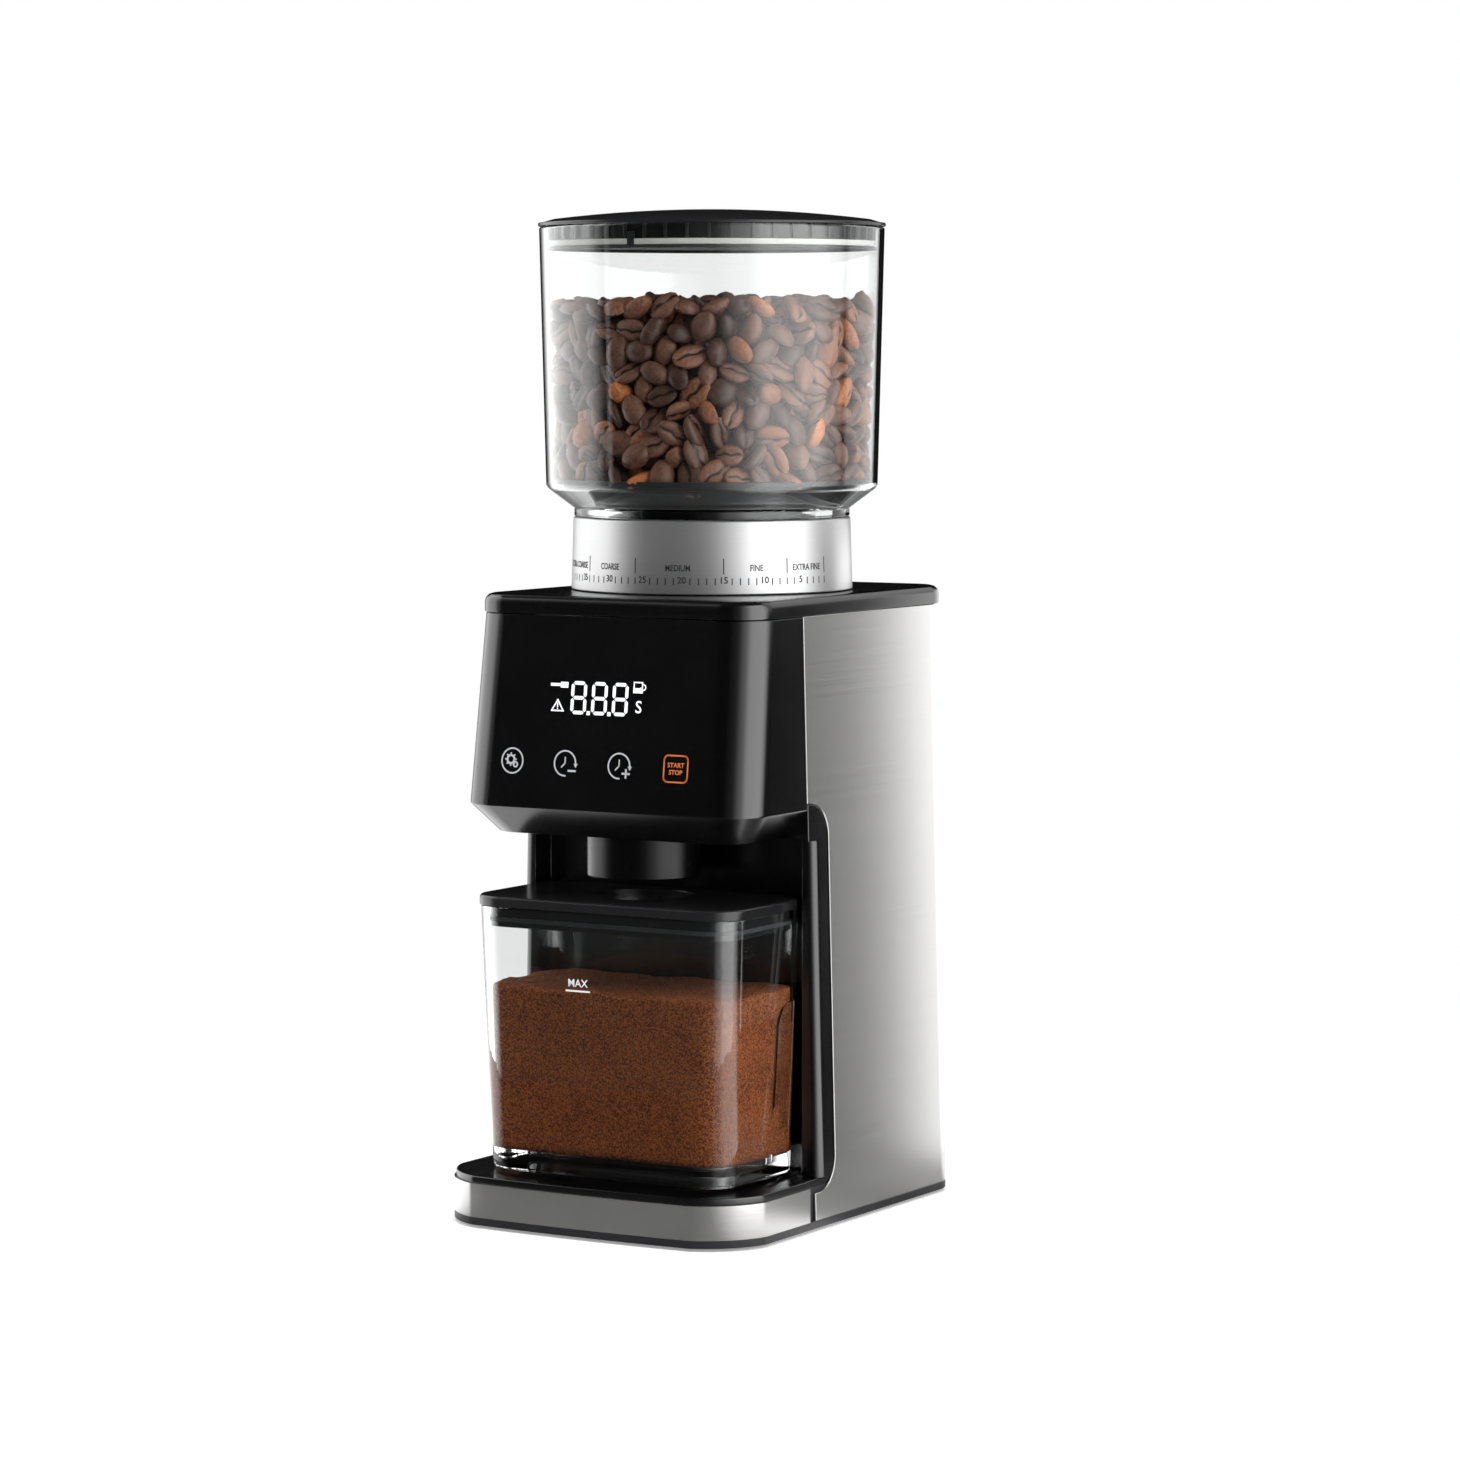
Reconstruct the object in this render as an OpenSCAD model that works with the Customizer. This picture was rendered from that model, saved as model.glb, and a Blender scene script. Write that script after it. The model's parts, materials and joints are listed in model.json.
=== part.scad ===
// Electric burr coffee grinder with a clear bean hopper, a touch panel head, a steel clad
// column and a docked grounds jar. Front is -Y, right is +X, the feet stand on Z = 0.

/* [Body] */
// Width of the body at the deck
body_w = 126.6; // [120:0.2:156]
// Depth of the deck from its front edge to its rear edge
body_d = 156.7; // [150:0.1:190]
// How far the base reaches in front of the deck
base_reach = 24.1; // [18:0.1:36]
// Outward slope of the side walls towards the base, in degrees
side_draft = 1.48; // [0:0.02:3]
// Thickness of the moulded casing walls
wall = 2.5; // [2:0.1:4]
// Thickness of the steel side panels
steel_t = 0.8; // [0.6:0.1:1.2]
// Corner radius of the steel wrap and the rear of the body
rear_r = 15; // [8:0.5:20]

/* [Base] */
// Height of the rubber feet below the base
foot_h = 1.2; // [1:0.1:4]
// Radius of a rubber foot
foot_r = 8; // [6:0.5:12]
// Height of the black rim at the foot of the base
rim_h = 3; // [2:0.1:6]
// Height of the steel band round the base
band_h = 13; // [9:0.5:20]
// Thickness of the moulded base cover
base_cover_h = 2.8; // [2.4:0.1:5]
// Radius of the front corners of the base
base_r = 32; // [20:1:44]
// How far the middle of the base front bulges ahead of its corners
base_bulge = 3.4; // [1:0.1:6]

/* [Column and dock] */
// Height of the dock bay between the base cover and the head
bay_h = 130.5; // [122:0.5:170]
// Distance from the front of the base to the front of the column
column_in = 65.4; // [60:0.2:80]
// Half width of the recess that takes the jar
recess_hw = 60.5; // [58.5:0.1:61]
// Depth of the recess behind the front of the column
recess_d = 11.5; // [8:0.1:16]
// Corner radius of the dock frame on the side of the body
frame_r = 13; // [6:0.5:18]

/* [Head] */
// Height of the head between its underside and the deck
head_h = 84.5; // [80:0.5:110]
// Height of the chamfer round the underside of the head
head_chamfer = 11; // [6:0.5:14]
// How far that chamfer cuts in
head_tuck = 9; // [5:0.5:12]
// How far the foot of the head front leans ahead of the deck
head_lean = 8.7; // [4:0.1:12]
// Radius of the front corners of the head
head_r = 13; // [8:0.5:18]
// Thickness of the deck
deck_t = 7.2; // [6.6:0.1:10]
// Bevel round the top of the deck
deck_bevel = 3.5; // [2:0.1:4]
// Distance from the front of the deck to the hopper axis
axis_in = 75.8; // [74:0.1:82]

/* [Hopper] */
// Outer radius of the top of the hopper
hopper_top_r = 67.3; // [60:0.1:75]
// Outer radius of the bottom of the hopper wall
hopper_low_r = 64.75; // [57:0.05:72]
// Height of the hopper wall
hopper_h = 100.8; // [80:0.2:125]
// Thickness of the hopper wall
hopper_t = 2.2; // [1.8:0.1:3]
// Height of the cone under the hopper wall
hopper_cone_h = 8.2; // [6:0.1:12]
// Radius of the hopper neck
neck_r = 53.8; // [52:0.1:56]
// Height of the hopper neck
neck_h = 3; // [2.6:0.1:6]
// Height of the dome of the hopper lid
lid_dome = 4.6; // [3:0.1:8]
// Thickness of the rim of the hopper lid
lid_rim = 2; // [1.6:0.1:4]
// Depth of the ribbed plug under the hopper lid
lid_plug = 8; // [6:0.5:14]
// Number of ribs round the lid plug
lid_ribs = 48; // [24:4:72]

/* [Grind setting] */
// Outer radius of the setting collar at the deck
collar_r = 55; // [54:0.1:58]
// Height of the setting collar
collar_h = 28.2; // [24:0.2:36]
// Outer radius of the collar skirt that turns in the deck
skirt_r = 46; // [45:0.1:47]
// Wall of the collar skirt
skirt_t = 2.5; // [2:0.1:2.8]

/* [Grounds jar] */
// Half width of the jar at its mouth
jar_hw = 58; // [50:0.1:58.5]
// Distance from the front of the base to the front of the jar mouth
jar_in = 13.6; // [10:0.1:20]
// Height of the jar without its lid
jar_h = 99; // [80:0.5:102]
// Thickness of the jar wall
jar_t = 2.6; // [2:0.1:4]
// Thickness of the jar floor
jar_floor = 6; // [3:0.5:9]
// How much narrower each side of the jar floor is than the mouth
jar_draft = 3.4; // [1:0.1:6]
// Corner radius of the jar
jar_r = 14; // [8:0.5:18]
// Thickness of the jar lid
jar_lid_t = 7.4; // [6:0.1:10]
// Radius of the hole in the jar lid
jar_hole_r = 19; // [14:0.5:24]

/* [Chute] */
// Outer radius of the chute shroud
chute_r = 21.8; // [20:0.1:24]
// Distance from the hopper axis forward to the chute axis
chute_in = 51; // [50:0.5:54]
// Height of the shroud below the head
chute_drop = 16.5; // [12:0.5:18]
// Inner radius of the chute
chute_bore = 12; // [9:0.5:14]

/* [Burrs] */
// Outer radius of the ring burr
ring_burr_r = 30; // [28:0.5:32]
// Height of the ring burr
ring_burr_h = 20; // [17:0.5:22]
// Radius of the foot of the cone burr
cone_burr_r = 19.5; // [16:0.5:20]
// Radius of the top of the cone burr
cone_burr_top_r = 8.5; // [7:0.5:11]
// Gap between the two burrs at the middle setting
burr_gap = 0.8; // [0.7:0.05:1.5]
// Number of grinding teeth on each burr
burr_teeth = 24; // [16:2:32]
// Radius of the burr carrier that screws up and down
carrier_r = 40; // [38:0.1:40.5]

/* [Drive] */
// Radius of the burr shaft
shaft_r = 5; // [4:0.1:6]
// Gear module
gear_m = 1; // [0.9:0.05:1.1]
// Teeth of the motor pinion
pinion_teeth = 12; // [10:1:16]
// Teeth of the large wheel of the compound gear
compound_large = 44; // [36:1:46]
// Teeth of the small wheel of the compound gear
compound_small = 14; // [12:1:18]
// Teeth of the wheel on the burr shaft
output_teeth = 50; // [40:1:54]
// Distance from the hopper axis back to the motor axis
motor_in = 30.5; // [26:0.1:34]
// Radius of the motor can
motor_r = 26; // [20:0.5:27]
// Length of the motor can
motor_l = 84; // [60:1:96]
// Radius of the motor shaft
motor_shaft_r = 2.5; // [2:0.1:3]

/* [Fits] */
// Radial clearance of a part that turns or slides in its bearing
run_gap = 0.05; // [0.03:0.01:0.08]
// Gap between parts that lift or slide past each other
slip_gap = 0.3; // [0.25:0.05:0.5]
// Radius of the mains lead hole in the gland
cord_r = 3.5; // [3:0.1:4.5]

/* [Hidden] */
$fn = 96;
eps = 0.01;
big = 400;

// Levels, from the floor up
rim_z = foot_h;
band_z = rim_z + rim_h;
cover_z = band_z + band_h;
base_z = cover_z + base_cover_h;
head_z = base_z + bay_h;
deck_z = head_z + head_h;
deck_top = deck_z + deck_t;
collar_z = deck_top + slip_gap;
collar_top = collar_z + collar_h;
neck_z = collar_top + slip_gap;
cone_z = neck_z + neck_h;
wall_z = cone_z + hopper_cone_h;
hopper_top = wall_z + hopper_h;
lid_z = hopper_top + slip_gap;

// Places along the depth
total_d = base_reach + body_d;
base_front = -total_d / 2;
deck_front = base_front + base_reach;
deck_back = total_d / 2;
axis_y = deck_front + axis_in;
column_y = base_front + column_in;
recess_y = column_y + recess_d;
frame_reach = 11.7;
steel_lap = 3.7;
band_seam = 4.6;
deck_overhang = 3.9;
frame_back = column_y + frame_reach;
steel_front = column_y - steel_lap;
band_back = steel_front - band_seam;
steel_back = deck_back - deck_overhang;
motor_y = axis_y + motor_in;
chute_y = axis_y - chute_in;
rear_hw = 46;
skin_gap = 0.2;
rear_t = 2.4;
press_gap = 0.02;

// Half width of the body at a height
function half_w(z) = body_w / 2 + tan(side_draft) * (deck_z + deck_t - deck_bevel - z);

// Levels of the drive, down from the deck
chamber_drop = 6.5;
chamber_depth = 26;
chamber_base = 12;
gear_plate = 3.5;
chamber_top = deck_z - chamber_drop;
chamber_floor = chamber_top - chamber_depth;
chamber_foot = chamber_floor - chamber_base;
gear_roof = chamber_foot - gear_plate;
grommet_h = wall + 1.5;
gear_floor = head_z + grommet_h + gear_plate;
bearing_r = 9;
bearing_h = 6;
output_z = gear_floor + bearing_h + 2;
output_h = 9;
pinion_z = output_z + output_h + 1.5;
pinion_h = gear_roof - pinion_z - 2.5;
motor_top = head_z + grommet_h;
motor_z = motor_top - motor_l;

// Gear centres: the compound gear sits at the corner of a triangle of two mesh distances
mesh_gap = 0.06;
output_mesh = gear_m * (output_teeth + compound_small) / 2 + mesh_gap;
input_mesh = gear_m * (pinion_teeth + compound_large) / 2 + mesh_gap;
compound_dy = (output_mesh * output_mesh - input_mesh * input_mesh + motor_in * motor_in) / (2 * motor_in);
compound_x = sqrt(output_mesh * output_mesh - compound_dy * compound_dy);
compound_y = axis_y + compound_dy;
pin_r = 3;

// Levels of the grind set
sweeper_z = chamber_floor + 1.2;
sweeper_h = 6;
burr_z = sweeper_z + sweeper_h + 1;
ring_z = burr_z + 0.5;
web_z = ring_z + ring_burr_h;
carrier_top = web_z + 8;
cone_burr_h = ring_burr_h + 2;
nut_z = burr_z + cone_burr_h;
shaft_top = nut_z + 6;
collar_skirt_z = chamber_top + 1.5;
throat_r = 20;
throat_z = carrier_top + 1.5;
tab_z = collar_skirt_z + 1.5;
tab_h = 4;

// ---------------------------------------------------------------- shared shapes

module at_axis(z = 0) {
    translate([0, axis_y, z]) children();
}

module tube(ro, ri, h) {
    difference() {
        cylinder(r = ro, h = h);
        translate([0, 0, -1]) cylinder(r = ri, h = h + 2);
    }
}

module ring(n, r, turn = 0) {
    for (i = [0 : n - 1])
        rotate(turn + i * 360 / n) translate([r, 0, 0]) children();
}

module at_corners(x, y0, y1) {
    for (sx = [-1, 1], y = [y0, y1])
        translate([sx * x, y, 0]) children();
}

// Four corner posts of a rounded rectangle, to be hulled
module posts(hw, y0, y1, rf, rb, h = eps) {
    for (s = [-1, 1]) {
        translate([s * (hw - rf), y0 + rf, 0]) cylinder(r = rf, h = h, $fn = 32);
        translate([s * (hw - rb), y1 - rb, 0]) cylinder(r = rb, h = h, $fn = 32);
    }
}

// A block whose sides follow the draft of the body
module body_block(z0, z1, y0, y1, inset = 0, rf = 0.5, rb = rear_r) {
    hull()
        for (z = [z0, z1 - eps])
            translate([0, 0, z]) posts(half_w(z) - inset, y0, y1, rf, rb);
}

// Exact rounded rectangle
module rounded_plan(x0, y0, x1, y1, r) {
    translate([x0 + r, y0]) square([x1 - x0 - 2 * r, y1 - y0]);
    translate([x0, y0 + r]) square([x1 - x0, y1 - y0 - 2 * r]);
    for (x = [x0 + r, x1 - r], y = [y0 + r, y1 - r])
        translate([x, y]) circle(r);
}

// Plan of the base: straight sides, round front corners and a gently bowed front
module base_plan(inset = 0, rear_inset = 0) {
    hw = half_w(band_z) - inset;
    bow_r = (hw * hw + base_bulge * base_bulge) / (2 * base_bulge);
    front = base_front + inset;
    intersection() {
        rounded_plan(-hw, front, hw, steel_back - rear_inset - inset, rear_r);
        union() {
            rounded_plan(-hw - 1, front, hw + 1, big, base_r);
            translate([-hw, front + base_r + 4]) square([2 * hw, big]);
        }
        translate([0, front + bow_r]) circle(bow_r, $fn = 240);
    }
}

// Inset of what stands behind the steel, which closes in towards the base cover
function tuck() = steel_t + skin_gap + half_w(band_z) - half_w(base_z);
rear_tuck = rear_t + skin_gap - tuck();

// Outline of the dock frame on the side of the body, as Y and Z
module frame_outline(grow = 0) {
    y0 = column_y - 60;
    z0 = base_z - 5 - grow;
    z1 = head_z + frame_r + grow;
    y1 = frame_back + grow;
    r = frame_r + grow;
    translate([y0, z0]) square([y1 - r - y0, z1 - z0]);
    translate([y1 - 2 * r, z0 + r]) square([2 * r, z1 - z0 - 2 * r]);
    for (z = [z0 + r, z1 - r])
        translate([y1 - r, z]) circle(r);
}

module across(w = 2 * big) {
    translate([-w / 2, 0, 0]) rotate([90, 0, 90]) linear_extrude(w) children();
}

module screw(head_r, head_h, r, l) {
    cylinder(r = head_r, h = head_h);
    translate([0, 0, -l]) cylinder(r = r, h = l + eps);
}

// Involute teeth with a little backlash, one tooth centred on +X
backlash = 0.14;
addendum = 0.75;
dedendum = 1.1;
function inv(a) = tan(a) * 180 / PI - a;
function flank(z, r) = let (rp = gear_m * z / 2, rb = rp * cos(20))
    90 / z - backlash * 90 / PI / rp * gear_m + inv(20) - inv(acos(min(1, rb / max(r, rb))));
function tooth(z) = let (rp = gear_m * z / 2, rb = rp * cos(20),
    ra = rp + addendum * gear_m, rf = rp - dedendum * gear_m, rs = max(rb, rf + 0.05))
    [[rf, -flank(z, rs)], [rs, -flank(z, rs)], [(rs + ra) / 2, -flank(z, (rs + ra) / 2)],
     [ra, -flank(z, ra)], [ra, flank(z, ra)], [(rs + ra) / 2, flank(z, (rs + ra) / 2)],
     [rs, flank(z, rs)], [rf, flank(z, rs)]];

module gear(z, h, bore, turn = 0) {
    difference() {
        linear_extrude(h)
            polygon([for (i = [0 : z - 1], p = tooth(z))
                let (a = p[1] + turn + i * 360 / z) [p[0] * cos(a), p[0] * sin(a)]]);
        translate([0, 0, -1]) cylinder(r = bore, h = h + 2);
    }
}

// Directions along which the gears mesh
to_compound = atan2(compound_dy, compound_x);
to_motor = atan2(motor_in - compound_dy, -compound_x);

// ---------------------------------------------------------------- base

foot_x = half_w(0) - 17;
foot_front = base_front + 26;
foot_back = steel_back - 20;
foot_sink = 1;
screw_seat = rim_z + 6;
boss_r = 4;
base_screw_r = 1.5;
base_boss_x = recess_hw - 8;
base_boss_front = column_y - 30;
base_boss_back = steel_back - 34;
screw_head_bore = 3.2;
seam_w = 3;
shelf_w = 6;
shelf_back = 14;

module rubber_feet() {
    color("dimgray")
        at_corners(foot_x, foot_front, foot_back) cylinder(r = foot_r, h = foot_h + foot_sink);
}

module base_tray() {
    inner = tuck() + wall;
    color("black") difference() {
        union() {
            translate([0, 0, rim_z]) linear_extrude(rim_h) base_plan();
            translate([0, 0, band_z - eps]) linear_extrude(band_h + eps) base_plan(tuck(), rear_tuck);
            for (s = [-1, 1])
                translate([s * (half_w(band_z) - seam_w) - seam_w / 2, band_back + skin_gap, band_z - eps])
                    cube([seam_w, steel_front - band_back - 2 * skin_gap, band_h]);
        }
        difference() {
            translate([0, 0, band_z]) linear_extrude(big) base_plan(inner, rear_tuck);
            at_corners(base_boss_x, base_boss_front, base_boss_back)
                cylinder(r = boss_r + 1, h = big);
        }
        at_corners(foot_x, foot_front, foot_back)
            cylinder(r = foot_r + run_gap, h = rim_z + foot_sink);
        at_corners(base_boss_x, base_boss_front, base_boss_back) {
            cylinder(r = base_screw_r + press_gap, h = big);
            cylinder(r = screw_head_bore, h = screw_seat);
        }
    }
}

module base_band() {
    color("silver") difference() {
        translate([0, 0, band_z]) linear_extrude(band_h)
            difference() {
                base_plan();
                base_plan(steel_t);
            }
        translate([-big, band_back, 0]) cube([2 * big, big, big]);
    }
}

module base_cover() {
    color("black") difference() {
        union() {
            translate([0, 0, cover_z]) linear_extrude(base_cover_h)
                intersection() {
                    base_plan(0.6);
                    translate([-big, base_front - 1]) square([2 * big, band_back - base_front]);
                }
            translate([0, 0, cover_z]) linear_extrude(base_cover_h) base_plan(tuck(), rear_tuck);
        }
        // Opening under the motor
        translate([-recess_hw + shelf_w, recess_y + wall + 2, 0])
            cube([2 * (recess_hw - shelf_w), steel_back - recess_y - shelf_back, big]);
        at_corners(base_boss_x, base_boss_front, base_boss_front)
            cylinder(r = base_screw_r + press_gap, h = base_z - 0.6);
        at_corners(base_boss_x, base_boss_back, base_boss_back)
            cylinder(r = base_screw_r + press_gap, h = big);
    }
}

module base_screws() {
    color("silver")
        for (end = [[base_boss_front, base_z - 0.8], [base_boss_back, base_z + 6.5]])
            at_corners(base_boss_x, end[0], end[0])
                translate([0, 0, screw_seat]) rotate([180, 0, 0])
                    screw(2.8, 1.8, base_screw_r, end[1] - screw_seat);
}

// ---------------------------------------------------------------- column

motor_hole_r = motor_r + 2.5;
grommet_x = 44;
grommet_front = axis_y - 10;
grommet_back = motor_y + 14;
grommet_r = 5;
inner_inset = steel_t + skin_gap;
post_r = 5;
post_bore = 3.4;
post_web = 4;
boss_h = 12;
boss_web_t = 4;
boss_web_l = half_w(head_z) - inner_inset - wall / 2 - base_boss_x;
plunger_r = 3;
switch_z = head_z - 40;

module column_housing() {
    back = steel_back - rear_r;
    color("black") difference() {
        union() {
            intersection() {
                body_block(base_z, head_z, column_y, frame_back, 0, 4, 0.5);
                across() frame_outline();
            }
            intersection() {
                body_block(head_z - 1, head_z + frame_r, steel_front + skin_gap, frame_back, 0, 0.5, 0.5);
                across() frame_outline();
            }
            body_block(base_z, head_z, column_y + 8, back, inner_inset, 0.5, 2);
        }
        // Recess for the jar
        translate([-recess_hw, column_y - 10, base_z - 1])
            cube([2 * recess_hw, recess_d + 10, bay_h + 1]);
        // Hollow behind the recess
        translate([0, 0, base_z - 1])
            body_block_local(bay_h - wall + 1, recess_y + wall, back + 1, inner_inset + wall);
        // Head side stays open between the two side cheeks
        translate([-half_w(deck_z) + 8, column_y - 20, head_z])
            cube([2 * half_w(deck_z) - 16, big, big]);
        translate([0, motor_y, 0]) cylinder(r = motor_hole_r, h = big);
        at_corners(grommet_x, grommet_front, grommet_back)
            translate([0, 0, head_z - wall - 1]) cylinder(r = 2, h = wall + 2);
        at_corners(deck_post_x, deck_post_back, deck_post_back)
            translate([0, 0, head_z - 20]) cylinder(r = post_bore, h = 40);
        translate([0, recess_y - 1, switch_z]) rotate([-90, 0, 0])
            cylinder(r = plunger_r + run_gap, h = wall + 2);
    }
    // Posts for the rear deck screws
    color("black") at_corners(deck_post_x, deck_post_back, deck_post_back) deck_post(head_z - eps);
    // Bosses for the rear base screws, each on a web from the side wall
    color("black") difference() {
        for (s = [-1, 1])
            translate([s * base_boss_x, base_boss_back, base_z]) {
                cylinder(r = boss_r, h = boss_h);
                rotate(s > 0 ? 0 : 180) translate([0, -boss_web_t / 2, 0])
                    cube([boss_web_l, boss_web_t, boss_h]);
            }
        at_corners(base_boss_x, base_boss_back, base_boss_back)
            translate([0, 0, base_z - 1]) cylinder(r = base_screw_r + press_gap, h = 8);
    }
}

// Tube for a deck screw: the head sits under a web near its top
module deck_post(z0) {
    translate([0, 0, z0]) difference() {
        cylinder(r = post_r, h = deck_post_z - z0);
        translate([0, 0, -1]) cylinder(r = post_bore, h = deck_post_z - z0 - post_web + 1);
        cylinder(r = 1.6, h = big);
    }
}

module body_block_local(h, y0, y1, inset) {
    hw = half_w(base_z + h) - inset;
    translate([-hw, y0, 0]) cube([2 * hw, y1 - y0, h]);
}

module side_panel(s) {
    z0 = band_z;
    z1 = deck_z - skin_gap;
    color("gainsboro") difference() {
        body_block(z0, z1, steel_front - rear_r, steel_back, 0, 0.5, rear_r);
        body_block(z0 - 1, z1 + 1, steel_front - rear_r - 1, steel_back - steel_t,
            steel_t, 0.5, rear_r - steel_t);
        translate([-big, -big + steel_front, 0]) cube([2 * big, big, big]);
        translate([s > 0 ? -big : -rear_hw, -big, 0]) cube([big + rear_hw, 2 * big, big]);
        across() frame_outline(slip_gap);
    }
}

module side_panel_right() {
    side_panel(1);
}

module side_panel_left() {
    side_panel(-1);
}

gland_x = 22;
gland_z = 34;
vents = 12;
vent_w = 60;
vent_h = 2.6;
vent_pitch = 6;
vent_drop = 24;
power_post_r = 3.2;
power_screw_l = 6;

module rear_cover() {
    t = rear_t;
    hw = rear_hw - skin_gap;
    z0 = band_z;
    h = deck_z - skin_gap - z0;
    color("black") difference() {
        union() {
            translate([-hw, steel_back - t, z0]) cube([2 * hw, t, h]);
            // Flanges behind the edges of the side panels
            for (s = [-1, 1])
                translate([s * rear_hw - 4, steel_back - t - steel_t, base_z + skin_gap])
                    cube([8, t - 0.6, deck_z - base_z - 2 * skin_gap]);
            // Posts for the power board
            for (p = power_bolts)
                translate([p[0], power_y + board_t, p[1]]) rotate([-90, 0, 0])
                    cylinder(r = power_post_r, h = steel_back - t - power_y - board_t + eps);
        }
        // Vents
        for (i = [0 : vents - 1])
            translate([-vent_w / 2, steel_back - 2 * t, deck_z - vent_drop - i * vent_pitch])
                cube([vent_w, 3 * t, vent_h]);
        for (p = power_bolts)
            translate([p[0], power_y, p[1]]) rotate([-90, 0, 0]) cylinder(r = 1.4, h = power_screw_l + 1);
        translate([gland_x, steel_back - 12, gland_z]) rotate([-90, 0, 0])
            cylinder(r = cord_r + 3 + run_gap, h = 20);
        // Nothing but the skin stands beside the base
        translate([-half_w(0), steel_back - 4 * t, z0 - 1])
            cube([2 * half_w(0), 3 * t, base_z - z0 + 1 + skin_gap]);
    }
}

module cord_gland() {
    color("dimgray") translate([gland_x, steel_back, gland_z]) rotate([90, 0, 0]) difference() {
        union() {
            translate([0, 0, -1.6]) cylinder(r = cord_r + 5, h = 1.6);
            translate([0, 0, -1]) cylinder(r = cord_r + 3, h = 9);
            translate([0, 0, 2.6]) cylinder(r = cord_r + 4.4, h = 2);
        }
        translate([0, 0, -3]) cylinder(r = cord_r, h = 20);
    }
}

// ---------------------------------------------------------------- head

head_front = deck_front + 0.5;

module head_solid(inset, z_low, z_mid, z_top) {
    low_front = head_front - head_lean;
    back = steel_front + 20;
    r = head_r - inset;
    hull() {
        translate([0, 0, z_top]) posts(half_w(deck_z) - inset, head_front + inset, back, r, 0.5);
        translate([0, 0, z_mid]) posts(half_w(z_mid) - inset, low_front + inset, back, r, 0.5);
        translate([0, 0, z_low])
            posts(half_w(z_low) - inset - head_tuck, low_front + inset + head_tuck, back, r - 4, 0.5);
    }
}

module head_cover() {
    color("black") difference() {
        union() {
            difference() {
                head_solid(0, head_z, head_z + head_chamfer, deck_z - eps - skin_gap);
                head_solid(wall, head_z + wall, head_z + head_chamfer + 1, deck_z + 1);
                translate([-big, steel_front, 0]) cube([2 * big, big, big]);
            }
            // Tongue that roofs the recess
            translate([-half_w(deck_z) + 8.3, steel_front - eps, head_z])
                cube([2 * half_w(deck_z) - 16.6, recess_y - steel_front, wall]);
            at_corners(deck_post_x, deck_post_front, deck_post_front) deck_post(head_z + wall - eps);
        }
        translate([0, chute_y, 0]) cylinder(r = chute_r + run_gap, h = deck_z - 30);
        at_corners(deck_post_x, deck_post_front, deck_post_front)
            translate([0, 0, head_z - 1]) cylinder(r = post_bore, h = 10);
    }
}

deck_wall = 3;
deck_rim = 5;
deck_corner = 15;
deck_screw_r = 1.5;
hub_r = skirt_r + run_gap;
deck_post_x = half_w(deck_z) - 14;
deck_post_front = deck_front + 17;
deck_post_back = steel_back - rear_r - post_r - 0.5;
deck_post_z = deck_z - 14;

module deck_plate() {
    color("black") difference() {
        union() {
            difference() {
                hull() {
                    for (z = [deck_z, deck_top - deck_bevel])
                        translate([0, 0, z])
                            posts(half_w(deck_top - deck_bevel), deck_front, deck_back,
                                deck_corner, deck_corner);
                    translate([0, 0, deck_top - eps])
                        posts(half_w(deck_top) - deck_bevel, deck_front + deck_bevel,
                            deck_back - deck_bevel, deck_corner - 3, deck_corner - 3);
                }
                translate([0, 0, deck_z - 1]) linear_extrude(deck_t - deck_wall + 1)
                    rounded_plan(-half_w(deck_z) + deck_rim, deck_front + deck_rim,
                        half_w(deck_z) - deck_rim, deck_back - deck_rim - 2, deck_corner - deck_rim);
            }
            at_axis(deck_z) cylinder(r = hub_r + deck_rim, h = deck_t - 1);
            at_corners(deck_post_x, deck_post_front, deck_post_back)
                translate([0, 0, deck_post_z]) cylinder(r = 4, h = deck_top - deck_wall - deck_post_z + 1);
        }
        at_axis(deck_z - 1) cylinder(r = hub_r, h = deck_t + 2);
        at_corners(deck_post_x, deck_post_front, deck_post_back)
            translate([0, 0, deck_post_z - 1]) cylinder(r = deck_screw_r + press_gap, h = 12);
    }
}

module deck_screws() {
    color("silver")
        at_corners(deck_post_x, deck_post_front, deck_post_back)
            translate([0, 0, deck_post_z - post_web]) rotate([180, 0, 0])
                screw(3, 2, deck_screw_r, 9 + post_web);
}

lean_angle = atan(head_lean / (deck_z - head_z - head_chamfer));

// Flat place inside the leaning head front: local Z points to the front
module on_front(x, z, depth) {
    front_y = head_front - head_lean * (deck_z - z) / (deck_z - head_z - head_chamfer);
    translate([x, front_y, z]) rotate([90 - lean_angle, 0, 0]) translate([0, 0, -depth]) children();
}

key_z = head_z + 28.6;
digit_z = head_z + 54;
key_x = [-36.8, -12.3, 12.3, 36.8];
board_depth = wall + 6;
board_t = 1.6;
board_w = 92;
board_h = 48;
board_posts = [-40, 40];
board_post_r = 1.6;
board_post_l = board_depth - wall + board_t + 1;
display_w = 34;
display_h = 16;
display_t = board_depth - wall - 0.3;
digit_w = 8.8;
digit_pitch = 10.6;

module display_board() {
    color("darkgreen") difference() {
        on_front(0, (key_z + digit_z) / 2, board_depth)
            translate([-board_w / 2, -board_h / 2, -board_t]) cube([board_w, board_h, board_t]);
        for (x = board_posts)
            on_front(x, digit_z + 4, board_depth) translate([0, 0, -3]) cylinder(r = board_post_r, h = 6);
    }
    // Two posts carry the board from the front wall
    color("darkgreen")
        for (x = board_posts)
            on_front(x, digit_z + 4, board_depth)
                translate([0, 0, -board_t - 1]) cylinder(r = board_post_r, h = board_post_l - run_gap);
}

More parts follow.
